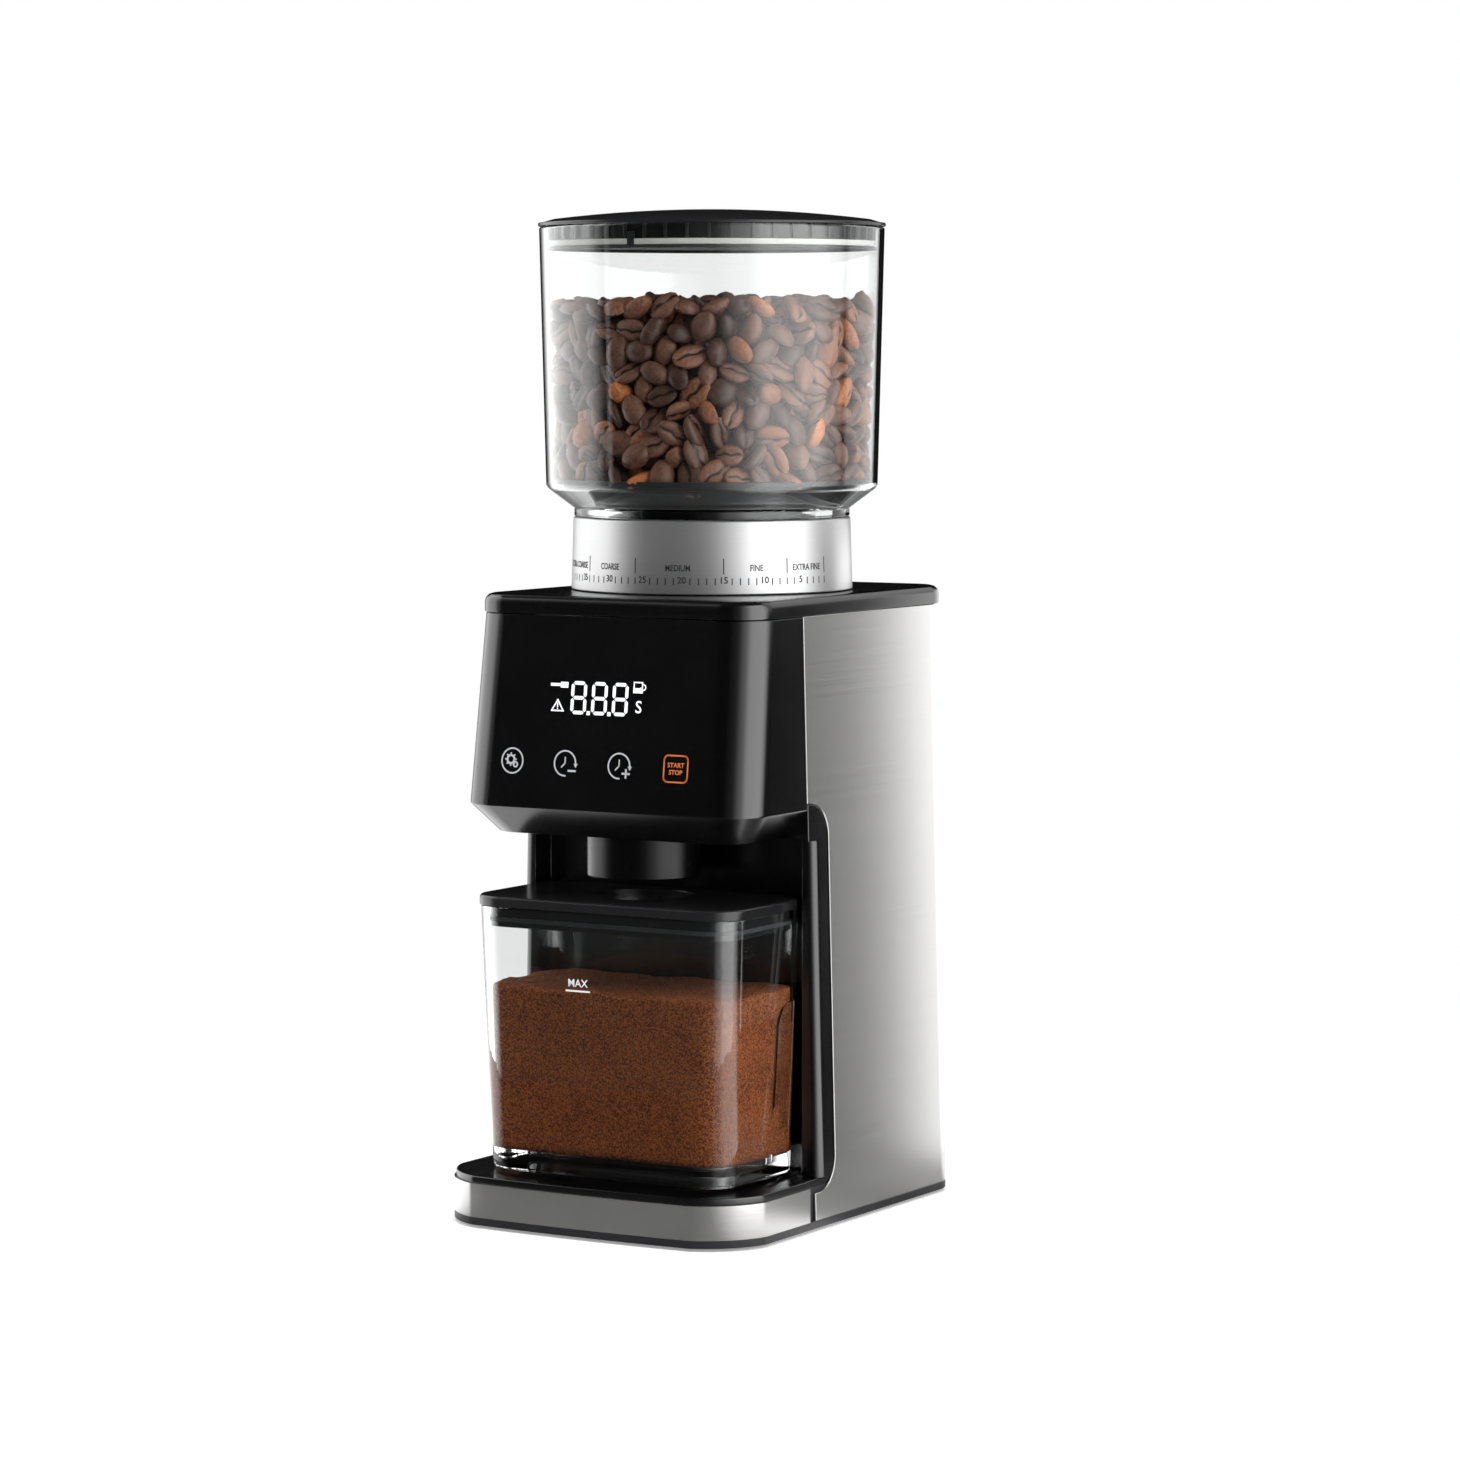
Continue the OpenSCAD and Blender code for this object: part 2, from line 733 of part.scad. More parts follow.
module digit_display() {
    color("white")
        on_front(0, digit_z, board_depth)
            translate([-display_w / 2, -display_h / 2, press_gap]) difference() {
                cube([display_w, display_h, display_t]);
                for (i = [0 : 2])
                    translate([2 + i * digit_pitch, 2, display_t - 0.7])
                        cube([digit_w, display_h - 4, 2]);
            }
}

module touch_springs() {
    color("goldenrod")
        for (x = key_x)
            on_front(x, key_z, board_depth) {
                cylinder(r = 4, h = 1.2);
                cylinder(r = 2.6, h = board_depth - wall - 1);
                translate([0, 0, board_depth - wall - 1.2]) cylinder(r = 6, h = 1);
            }
}

nose_z = chamber_foot;
nose_hw = 15;
nose_front = chute_y - chute_bore - 1;
pipe_t = 2.4;
flange_w = 3;
flange_t = 1.1;
flange_front = deck_front + 1 - head_lean + head_tuck + wall;

module chute() {
    pipe_top = nose_z - skin_gap;
    color("black") translate([0, chute_y, 0]) difference() {
        union() {
            translate([0, 0, head_z - chute_drop]) cylinder(r = chute_r, h = chute_drop + wall + 1);
            intersection() {
                translate([0, 0, head_z + wall + skin_gap]) cylinder(r = chute_r + flange_w, h = flange_t);
                translate([-big, flange_front - chute_y, 0]) cube([2 * big, big, big]);
            }
            translate([0, 0, head_z]) cylinder(r = chute_bore + pipe_t, h = pipe_top - head_z);
        }
        translate([0, 0, head_z - chute_drop - 1]) cylinder(r = chute_bore, h = big);
        // The shroud is hollow round the pipe, open below
        translate([0, 0, head_z - chute_drop - 1])
            tube(chute_r - wall, chute_bore + pipe_t, chute_drop - 1);
    }
}

// ---------------------------------------------------------------- grinding chamber and gearbox

seal_r = 9;
seal_h = 3;

module grind_chamber() {
    r_out = 44;
    sweep_r = ring_burr_r + 1.5;
    color("dimgray") difference() {
        union() {
            at_axis(chamber_foot) cylinder(r = r_out, h = chamber_top - chamber_foot);
            translate([-nose_hw - wall, nose_front - wall, nose_z])
                cube([2 * nose_hw + 2 * wall, axis_y - nose_front, chamber_floor + 12 - nose_z]);
        }
        at_axis(chamber_floor) cylinder(r = sweep_r, h = big);
        at_axis(burr_z - 1) cylinder(r = carrier_r + run_gap, h = big);
        at_axis(chamber_foot - seal_h) cylinder(r = sweep_r - 3, h = chamber_floor - chamber_foot);
        at_axis(0) cylinder(r = seal_r + press_gap, h = big);
        // Sloping way out to the front, and the drop hole over the chute
        difference() {
            translate([-nose_hw, nose_front, nose_z + wall])
                cube([2 * nose_hw, axis_y - nose_front, chamber_floor + 12 - wall - nose_z - wall]);
            at_axis(nose_z) cylinder(r = r_out - 8, h = chamber_floor - nose_z);
            translate([-nose_hw - 1, chute_y + chute_bore, nose_z])
                rotate([45, 0, 0]) translate([0, 0, -30]) cube([2 * nose_hw + 2, 60, 30]);
        }
        translate([0, chute_y, nose_z - 1]) cylinder(r = chute_bore, h = wall + 3);
        chamber_bolts() cylinder(r = 1.47, h = 12);
    }
}

chamber_bolt_r = ring_burr_r + 3;

module chamber_screws() {
    color("silver") chamber_bolts() rotate([180, 0, 0]) screw(2.6, 1.6, 1.45, 10);
}

// Four places on the underside of the gearbox cover
module chamber_bolts() {
    at_axis(gear_roof)
        for (a = [60, 145, 215, 325])
            rotate(a) translate([chamber_bolt_r, 0, 0]) children();
}

gear_lid_t = chamber_foot - gear_roof;
gear_x0 = -36;
gear_x1 = compound_x + gear_m * compound_large / 2 + 5;
gear_y0 = axis_y - 32;
gear_y1 = motor_y + 20;
gear_wall = 2.5;
foot_pad = 7;

module gearbox_plan(grow = 0) {
    rounded_plan(gear_x0 - grow, gear_y0 - grow, gear_x1 + grow, gear_y1 + grow, 10);
}

module gearbox_base() {
    z0 = gear_floor - gear_plate;
    color("gray") difference() {
        union() {
            translate([0, 0, z0]) linear_extrude(gear_roof - z0) gearbox_plan();
            for (s = [-1, 1])
                translate([s * grommet_x - foot_pad, grommet_front - foot_pad, z0])
                    cube([2 * foot_pad, grommet_back - grommet_front + 2 * foot_pad, gear_plate]);
            for (y = [grommet_front, grommet_back])
                translate([-grommet_x - foot_pad, y - foot_pad, z0])
                    cube([2 * (grommet_x + foot_pad), 2 * foot_pad, gear_plate]);
        }
        difference() {
            translate([0, 0, gear_floor]) linear_extrude(big) gearbox_plan(-gear_wall);
            at_axis(0) cylinder(r = bearing_r + 3, h = output_z - 1);
            translate([compound_x, compound_y, 0]) cylinder(r = pin_r + 2.5, h = output_z - 1);
            gearbox_posts();
        }
        at_axis(output_z - 1 - bearing_h) cylinder(r = bearing_r + press_gap, h = big);
        at_axis(z0 - 1) cylinder(r = shaft_r + 1, h = 20);
        translate([compound_x, compound_y, z0 - 1]) cylinder(r = pin_r + press_gap, h = 20);
        translate([0, motor_y, z0 - 1]) cylinder(r = 9, h = 20);
        at_corners(grommet_x, grommet_front, grommet_back)
            translate([0, 0, z0 - 1]) cylinder(r = 2.2, h = 8);
        translate([0, motor_y, 0])
            ring(2, motor_bolt_r) cylinder(r = 1.6, h = big);
        for (p = gearbox_bolts)
            translate([p[0], p[1], gear_roof - 10]) cylinder(r = 1.3, h = 20);
    }
}

motor_bolt_r = 14;
bolt_in = 5.2;
sunk_h = 1.7;
gearbox_bolts = [
    for (x = [gear_x0 + bolt_in, gear_x1 - bolt_in], y = [gear_y0 + bolt_in, gear_y1 - bolt_in]) [x, y]
];

module gearbox_posts() {
    for (p = gearbox_bolts)
        translate([p[0], p[1], gear_floor - 1]) cylinder(r = 3.4, h = gear_roof - gear_floor + 2);
}

module gearbox_cover() {
    color("gray") difference() {
        union() {
            translate([0, 0, gear_roof]) linear_extrude(gear_lid_t) gearbox_plan();
            at_axis(gear_roof) cylinder(r = bearing_r + 3, h = gear_lid_t + 5);
        }
        at_axis(gear_roof - 1) cylinder(r = bearing_r + press_gap, h = 3 + bearing_h);
        at_axis(0) cylinder(r = shaft_r + 1, h = big);
        translate([compound_x, compound_y, gear_roof - 1]) cylinder(r = pin_r + press_gap, h = 3);
        for (p = gearbox_bolts)
            translate([p[0], p[1], gear_roof - 1]) {
                cylinder(r = 1.6, h = 20);
                translate([0, 0, gear_lid_t + 1 - sunk_h]) cylinder(r = 2.6, h = 4);
            }
        translate([0, 0, -1]) chamber_bolts() cylinder(r = 1.6, h = 20);
    }
}

module gearbox_screws() {
    color("silver")
        for (p = gearbox_bolts)
            translate([p[0], p[1], chamber_foot - sunk_h]) screw(2.4, 1.6, 1.28, 10);
}

module mount_grommets() {
    color("dimgray")
        at_corners(grommet_x, grommet_front, grommet_back)
            translate([0, 0, head_z]) difference() {
                union() {
                    cylinder(r = grommet_r, h = grommet_h);
                    translate([0, 0, -wall]) cylinder(r = 1.9, h = wall + 1);
                    translate([0, 0, grommet_h - 1]) cylinder(r = 2.1, h = 4);
                }
                translate([0, 0, -wall - 1]) cylinder(r = 1, h = 20);
            }
}

module shaft_bearings() {
    color("silver") {
        at_axis(output_z - 1 - bearing_h) tube(bearing_r, shaft_r + run_gap, bearing_h);
        at_axis(gear_roof + 2) tube(bearing_r, shaft_r + run_gap, bearing_h);
    }
}

module shaft_seal() {
    color("dimgray") at_axis(chamber_floor - seal_h) tube(seal_r, shaft_r + run_gap, seal_h);
}

// ---------------------------------------------------------------- rotating parts

module drive_shaft() {
    color("silver") {
        at_axis(gear_floor - 1) cylinder(r = shaft_r, h = nut_z - gear_floor + 1);
        at_axis(nut_z - eps) cylinder(r = shaft_r - 1.5, h = shaft_top - nut_z);
    }
}

module output_gear() {
    color("white") at_axis(output_z) gear(output_teeth, output_h, shaft_r + press_gap, to_compound);
}

module compound_gear() {
    color("ivory") translate([compound_x, compound_y, 0]) {
        translate([0, 0, output_z - 0.5])
            gear(compound_small, pinion_z - output_z + 0.6, pin_r + run_gap,
                to_compound + 180 + 180 / compound_small);
        translate([0, 0, pinion_z]) gear(compound_large, pinion_h, pin_r + run_gap, to_motor);
    }
}

module gear_pin() {
    color("silver") translate([compound_x, compound_y, gear_floor - 3])
        cylinder(r = pin_r, h = gear_roof - gear_floor + 5);
}

module sweeper() {
    plate_r = ring_burr_r - 1;
    vane_t = 2.4;
    color("gray") at_axis(sweeper_z) difference() {
        union() {
            cylinder(r = plate_r, h = 2);
            cylinder(r = shaft_r + 4, h = sweeper_h);
            for (a = [0 : 90 : 270])
                rotate(a) translate([shaft_r + 2, -vane_t / 2, 0])
                    cube([plate_r - shaft_r - 2.5, vane_t, sweeper_h - 1]);
        }
        translate([0, 0, -1]) cylinder(r = shaft_r + press_gap, h = sweeper_h + 2);
    }
}

module cone_burr() {
    color("silver") at_axis(burr_z) difference() {
        cylinder(r1 = cone_burr_r, r2 = cone_burr_top_r, h = cone_burr_h);
        translate([0, 0, -1]) cylinder(r = shaft_r + press_gap, h = cone_burr_h + 2);
        // Slanting grooves, fine at the foot and deep at the top
        slope = atan((cone_burr_r - cone_burr_top_r) / cone_burr_h);
        ring(burr_teeth, cone_burr_r)
            rotate([12, -slope, 0]) translate([-1, -0.5, -6]) cube([4, 1, 12]);
        ring(6, cone_burr_r - 3.6, 15)
            translate([0, 0, 8]) rotate([28, -slope - 8, 0]) translate([-2, -1.6, -2]) cube([8, 3.2, big]);
    }
}

module burr_nut() {
    color("silver") at_axis(nut_z) difference() {
        cylinder(r = 7, h = 5, $fn = 6);
        translate([0, 0, -1]) cylinder(r = shaft_r - 1.5 + press_gap, h = 8);
    }
}

// ---------------------------------------------------------------- motor

motor_wall = 2;
rotor_r = 16;
commutator_z = motor_top - 22;
commutator_r = 8;
brush_w = 6;
motor_shaft_top = pinion_z + pinion_h + 1;
motor_bearing_r = 6;
core_z = motor_z + 18;
core_h = 34;
winding_over = 4;

module motor_can() {
    color("silver") translate([0, motor_y, motor_z]) difference() {
        cylinder(r = motor_r, h = motor_l);
        translate([0, 0, 3]) cylinder(r = motor_r - motor_wall, h = motor_l - 7);
        translate([0, 0, -1]) cylinder(r = motor_bearing_r + press_gap, h = 5);
        translate([0, 0, motor_l - 5]) cylinder(r = motor_bearing_r + press_gap, h = 6);
        ring(2, motor_bolt_r) translate([0, 0, motor_l - 5]) cylinder(r = 1.42, h = 6);
    }
}

module motor_magnets() {
    color("dimgray") translate([0, motor_y, core_z - 6]) difference() {
        tube(motor_r - motor_wall - 0.05, rotor_r + 1, core_h + 12);
        translate([-3, -big / 2, -1]) cube([6, big, 60]);
    }
}

module motor_bearings() {
    color("goldenrod") translate([0, motor_y, 0]) {
        translate([0, 0, motor_z]) tube(motor_bearing_r, motor_shaft_r + run_gap, 3);
        translate([0, 0, motor_top - 4]) tube(motor_bearing_r, motor_shaft_r + run_gap, 4);
    }
}

module motor_brushes() {
    color("dimgray") translate([0, motor_y, commutator_z + 2])
        for (a = [0, 180])
            rotate(a) translate([commutator_r + slip_gap, -brush_w / 2, 0])
                cube([motor_r - motor_wall - commutator_r - slip_gap - 0.4, brush_w, brush_w]);
}

module motor_screws() {
    color("silver") translate([0, motor_y, gear_floor])
        ring(2, motor_bolt_r) screw(2.8, 1.8, 1.4, 6.5);
}

module motor_rotor() {
    color("peru") translate([0, motor_y, 0]) {
        translate([0, 0, motor_z - 2]) cylinder(r = motor_shaft_r, h = motor_shaft_top - motor_z + 2);
        translate([0, 0, core_z - winding_over]) cylinder(r = rotor_r - 2.5, h = core_h + 2 * winding_over);
        difference() {
            translate([0, 0, core_z]) cylinder(r = rotor_r, h = core_h);
            ring(10, rotor_r - 2.2) translate([0, -0.8, 0]) cube([4, 1.6, big]);
        }
        translate([0, 0, commutator_z]) cylinder(r = commutator_r, h = 10);
    }
}

module motor_pinion() {
    color("silver") translate([0, motor_y, pinion_z - 0.5])
        gear(pinion_teeth, pinion_h + 0.8, motor_shaft_r + press_gap, to_motor + 180 + 180 / pinion_teeth);
}

// ---------------------------------------------------------------- grind setting

skirt_in = skirt_r - skirt_t;
tab_w = 6;
tab_reach = skirt_r - 0.5;
collar_t = 3;
retainer_r = skirt_r + 4.5;
retainer_z = collar_skirt_z + 1;
retainer_h = deck_z - retainer_z - 0.6;
retainer_screw_r = 1.2;
clicks = 40;
spring_t = 0.8;
spring_w = 20;
spring_in = 2.7;

module setting_collar() {
    color("silver") at_axis() difference() {
        union() {
            difference() {
                translate([0, 0, collar_z]) cylinder(r1 = collar_r, r2 = collar_r - 0.85, h = collar_h);
                translate([0, 0, collar_z - 1]) cylinder(r = collar_r - collar_t - 0.85, h = collar_h - 3);
            }
            translate([0, 0, collar_skirt_z]) cylinder(r = skirt_r, h = collar_top - collar_skirt_z - 1);
        }
        translate([0, 0, collar_skirt_z - 1]) cylinder(r = skirt_in, h = big);
        ring(3, skirt_in - 2)
            translate([0, -tab_w / 2 - slip_gap, collar_skirt_z - 1])
                cube([8, tab_w + 2 * slip_gap, tab_z + tab_h - collar_skirt_z + 3]);
        for (a = [60, 180, 300])
            rotate(a) translate([skirt_in - 2, 0, retainer_z + retainer_h / 2])
                rotate([0, 90, 0]) cylinder(r = retainer_screw_r + press_gap, h = 12);
    }
}

module collar_retainer() {
    color("dimgray") at_axis(retainer_z) difference() {
        tube(retainer_r, skirt_r + run_gap, retainer_h);
        ring(clicks, retainer_r + 0.5) translate([0, 0, -1]) cylinder(r = 1.2, h = retainer_h + 2);
        for (a = [60, 180, 300])
            rotate(a) translate([skirt_in, 0, retainer_h / 2]) rotate([0, 90, 0])
                cylinder(r = retainer_screw_r + press_gap, h = 12);
    }
}

module retainer_screws() {
    color("silver") at_axis(retainer_z + retainer_h / 2)
        for (a = [60, 180, 300])
            rotate(a) translate([skirt_in + 0.4, 0, 0]) rotate([0, 90, 0])
                cylinder(r = retainer_screw_r, h = retainer_r - skirt_in - 1.4);
}

module click_spring() {
    z0 = retainer_z + slip_gap;
    leg = 3;
    // Bent leaf fixed under the deck, with its nose at a notch of the retainer
    color("silver") at_axis() rotate(270) {
        translate([retainer_r + 0.5, -1, z0]) cube([3, 2, retainer_h - 0.6]);
        translate([retainer_r + spring_in, -spring_w / 2, z0]) cube([spring_t, spring_w, retainer_h - 0.6]);
        for (s = [-1, 1])
            translate([retainer_r + spring_in, s * (spring_w - leg) / 2 - leg / 2, z0])
                cube([spring_t, leg, deck_top - deck_wall - retainer_z - 0.5]);
    }
}

module burr_carrier() {
    lip = 4;
    color("dimgray") at_axis() difference() {
        union() {
            translate([0, 0, ring_z - 0.3]) cylinder(r = carrier_r, h = carrier_top - ring_z + 0.3);
            for (a = [0, 120, 240])
                rotate(a) translate([carrier_r - 2, -tab_w / 2, tab_z])
                    cube([tab_reach - carrier_r + 2, tab_w, tab_h]);
        }
        translate([0, 0, ring_z - 1]) cylinder(r = ring_burr_r + press_gap, h = ring_burr_h + 1);
        translate([0, 0, ring_z]) cylinder(r = throat_r + 2, h = big);
        translate([0, 0, web_z + 4]) cylinder(r = carrier_r - lip, h = big);
        ring(3, burr_bolt_r, 60) translate([0, 0, ring_z]) cylinder(r = 1.6, h = big);
    }
}

burr_bolt_r = (ring_burr_r + throat_r + 2) / 2;

module ring_burr() {
    land = 6;
    slope = (cone_burr_r - cone_burr_top_r) / cone_burr_h;
    mouth = cone_burr_r + burr_gap;
    color("silver") at_axis(ring_z) difference() {
        cylinder(r = ring_burr_r, h = ring_burr_h);
        translate([0, 0, -eps]) cylinder(r1 = mouth, r2 = mouth - slope * land, h = land + eps);
        translate([0, 0, land - eps])
            cylinder(r1 = mouth - slope * land, r2 = mouth - 1, h = ring_burr_h - land + 2 * eps);
        // Grinding grooves
        ring(burr_teeth, mouth - slope * land)
            rotate([-12, 0, 0]) translate([-2, -0.5, -2]) cube([4.4, 1, big]);
        ring(3, burr_bolt_r, 60) translate([0, 0, ring_burr_h - 9]) cylinder(r = 1.42, h = 20);
    }
}

module burr_screws() {
    color("silver") at_axis(web_z + 4) ring(3, burr_bolt_r, 60) screw(2.8, 1.8, 1.4, 12);
}

// ---------------------------------------------------------------- jar switch and boards

switch_y = recess_y + wall;
plunger_out = 0.6;
spring_at = 2.7;
spring_l = 1.6;

module jar_switch_plunger() {
    color("white") translate([0, recess_y - plunger_out, switch_z]) rotate([-90, 0, 0]) {
        cylinder(r = plunger_r, h = plunger_out + wall + spring_at + spring_l);
        translate([0, 0, plunger_out + wall + skin_gap]) cylinder(r = plunger_r + 1, h = 1.6);
    }
}

module plunger_spring() {
    color("silver") translate([0, switch_y + spring_at, switch_z]) rotate([-90, 0, 0])
        tube(plunger_r + 1, plunger_r + skin_gap, spring_l);
}

module jar_switch() {
    color("dimgray") difference() {
        translate([-10, switch_y, switch_z - 6]) cube([20, 9, 12]);
        translate([0, switch_y - 1, switch_z]) rotate([-90, 0, 0])
            cylinder(r = plunger_r + 1 + slip_gap, h = 1.1 + spring_at + spring_l);
        translate([0, switch_y - 1, switch_z]) rotate([-90, 0, 0])
            cylinder(r = plunger_r + run_gap, h = 1 + spring_at + spring_l + 1.2);
    }
}

power_y = steel_back - 10;
power_z = base_z + 22;
power_w = 84;
power_h = 92;
power_in = 6;
power_bolts = [
    for (s = [-1, 1], z = [power_in, power_h - power_in]) [s * (power_w / 2 - power_in), power_z + z]
];

module power_board() {
    color("darkgreen") difference() {
        translate([-power_w / 2, power_y, power_z]) cube([power_w, board_t, power_h]);
        for (p = power_bolts)
            translate([p[0], power_y - 1, p[1]]) rotate([-90, 0, 0]) cylinder(r = 1.6, h = 4);
    }
}

// Boxes and cans on the board, each as its place on the board and its size
board_boxes = [
    [[-31, 16], [16, 12, 20]],
    [[18, 14], [14, 14, 24]],
    [[-12, 4], [24, 5, 9]]
];
board_cans = [[[26, 62], 7], [[-30, 60], 6]];
can_h = 7;

module board_parts() {
    color("dimgray") {
        for (b = board_boxes)
            translate([b[0][0], power_y - b[1][1], power_z + b[0][1]]) cube(b[1]);
        for (c = board_cans)
            translate([c[0][0], power_y - can_h, power_z + c[0][1]]) rotate([-90, 0, 0])
                cylinder(r = c[1], h = can_h);
    }
}

module board_screws() {
    color("silver")
        for (p = power_bolts)
            translate([p[0], power_y, p[1]]) rotate([90, 0, 0]) screw(2.6, 1.6, 1.38, power_screw_l);
}

// ---------------------------------------------------------------- hopper

sleeve_r = skirt_in - slip_gap;
sleeve_t = 2.4;
sleeve_z = carrier_top + 1;
ledge_h = 1.8;
ledge_r = neck_r - 1.2;

module hopper() {
    color("white") at_axis() rotate_extrude() polygon([
        [sleeve_r, sleeve_z], [sleeve_r, neck_z], [neck_r, neck_z], [neck_r, cone_z],
        [hopper_low_r, wall_z], [hopper_top_r, hopper_top], [hopper_top_r - hopper_t, hopper_top],
        [hopper_low_r - hopper_t, wall_z + 0.8], [ledge_r, cone_z + ledge_h],
        [sleeve_r - sleeve_t, cone_z + ledge_h], [sleeve_r - sleeve_t, sleeve_z]
    ]);
}

module hopper_funnel() {
    t = 2;
    rim = hopper_low_r - hopper_t - slip_gap;
    step_r = ledge_r - slip_gap;
    pipe_r = sleeve_r - sleeve_t - slip_gap;
    floor_z = cone_z + ledge_h + skin_gap;
    rim_low = wall_z + 1.4;
    color("black") at_axis() rotate_extrude() polygon([
        [throat_r, throat_z], [throat_r + t, throat_z], [throat_r + t, floor_z - 10],
        [pipe_r, floor_z - 1], [pipe_r, floor_z], [step_r, floor_z],
        [rim, rim_low], [rim, rim_low + t], [rim - t, rim_low + t],
        [step_r - 1, floor_z + t], [sleeve_r - 6, floor_z + t - 1], [throat_r, floor_z - 9]
    ]);
}

plug_r = hopper_top_r - hopper_t - 0.9;

rib_t = 1.2;
gasket_h = 1.2;
gasket_lip = 0.4;

module hopper_lid() {
    lid_r = hopper_top_r + 0.4;
    dome_r = (lid_r * lid_r + lid_dome * lid_dome) / (2 * lid_dome);
    dome_z = lid_z + lid_rim + lid_dome - dome_r;
    color("black") at_axis() {
        difference() {
            union() {
                translate([0, 0, lid_z]) cylinder(r = lid_r, h = lid_rim);
                intersection() {
                    translate([0, 0, lid_z + lid_rim - eps]) cylinder(r = lid_r, h = lid_dome + 1);
                    translate([0, 0, dome_z]) sphere(dome_r, $fn = 240);
                }
            }
            intersection() {
                translate([0, 0, lid_z - 1]) cylinder(r = plug_r - 4, h = lid_dome + lid_rim);
                translate([0, 0, dome_z - 2.2]) sphere(dome_r, $fn = 240);
            }
        }
        translate([0, 0, lid_z - lid_plug]) tube(plug_r - 1.6, plug_r - 3.6, lid_plug + 0.5);
        ring(lid_ribs, plug_r - 2)
            translate([0, -rib_t / 2, lid_z - lid_plug + 0.5]) cube([1.6, rib_t, lid_plug]);
    }
}

module lid_gasket() {
    color("dimgray") at_axis(lid_z - lid_plug - gasket_h) {
        tube(plug_r + gasket_lip, plug_r - 3.6, gasket_h);
        translate([0, 0, gasket_h]) tube(plug_r + gasket_lip, plug_r - 0.3, gasket_h / 2);
    }
}

// ---------------------------------------------------------------- grounds jar

jar_front = base_front + jar_in;
jar_back = recess_y - 1;
jar_z = base_z + skin_gap;
jar_top = jar_z + jar_h;
jar_lid_z = jar_top + skin_gap;
jar_plug = 4.5;
jar_foot_in = 2.4;
jar_lid_lap = 0.6;
jar_plug_in = jar_t + 0.8;
jar_plug_t = 2;

module jar_solid(inset, z0, z1) {
    hull() {
        translate([0, 0, z1 - eps])
            posts(jar_hw - inset, jar_front + inset, jar_back - inset, jar_r - inset, jar_r - 2 - inset);
        translate([0, 0, z0])
            posts(jar_hw - jar_draft - inset, jar_front + jar_foot_in + inset, jar_back - inset,
                jar_r - inset, jar_r - 2 - inset);
    }
}

module grounds_jar() {
    color("white") difference() {
        jar_solid(0, jar_z, jar_top);
        jar_solid(jar_t, jar_z + jar_floor, jar_top + 1);
    }
}

module jar_lid_plan(inset) {
    rounded_plan(-jar_hw + inset, jar_front + inset, jar_hw - inset, jar_back - inset, jar_r - inset);
}

module jar_lid() {
    color("black") difference() {
        union() {
            translate([0, 0, jar_lid_z]) linear_extrude(jar_lid_t - 1) jar_lid_plan(-jar_lid_lap);
            translate([0, 0, jar_lid_z]) linear_extrude(jar_lid_t) jar_lid_plan(jar_lid_lap);
            translate([0, 0, jar_lid_z - jar_plug]) linear_extrude(jar_plug + 1)
                difference() {
                    jar_lid_plan(jar_plug_in);
                    jar_lid_plan(jar_plug_in + jar_plug_t);
                }
        }
        translate([0, 0, jar_lid_z - 1]) linear_extrude(jar_lid_t - 1.4) difference() {
            jar_lid_plan(jar_plug_in + jar_plug_t);
            translate([0, chute_y]) circle(jar_hole_r + 2);
        }
        translate([0, chute_y, jar_lid_z - 10]) cylinder(r = jar_hole_r, h = 30);
    }
}

module jar_lid_seal() {
    color("dimgray") translate([0, 0, jar_lid_z - 2.4]) linear_extrude(1.6) difference() {
        jar_lid_plan(jar_t + 0.35);
        jar_lid_plan(jar_plug_in);
    }
}

// ---------------------------------------------------------------- assembly

rubber_feet();
base_tray();
base_band();
base_cover();
base_screws();
column_housing();
side_panel_left();
side_panel_right();
rear_cover();
cord_gland();
head_cover();
deck_plate();
deck_screws();
display_board();
digit_display();
touch_springs();
chute();
grind_chamber();
chamber_screws();
shaft_seal();
mount_grommets();
gearbox_base();
gearbox_cover();
gearbox_screws();
shaft_bearings();
drive_shaft();
output_gear();
compound_gear();
gear_pin();
sweeper();
cone_burr();
burr_nut();
motor_can();
motor_magnets();
motor_bearings();
motor_brushes();
motor_screws();
motor_rotor();
motor_pinion();
setting_collar();
collar_retainer();
retainer_screws();
click_spring();
burr_carrier();
ring_burr();
burr_screws();
jar_switch();
jar_switch_plunger();
plunger_spring();
power_board();
board_parts();
board_screws();
hopper();
hopper_funnel();
hopper_lid();
lid_gasket();
grounds_jar();
jar_lid();
jar_lid_seal();
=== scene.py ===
# %% [markdown]
# # A burr coffee grinder, piece by piece
# The mechanism is already settled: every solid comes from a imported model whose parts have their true
# sizes and joints. This lesson dresses that model. It reads the frame, remodels the shells that people
# look at, fills the hopper with beans and the jar with grounds, and gives every part its finish.

# %% Load the frame and start with nothing selected
import json
import math

import bmesh
import bpy
import numpy as np
from mathutils import Matrix, Vector


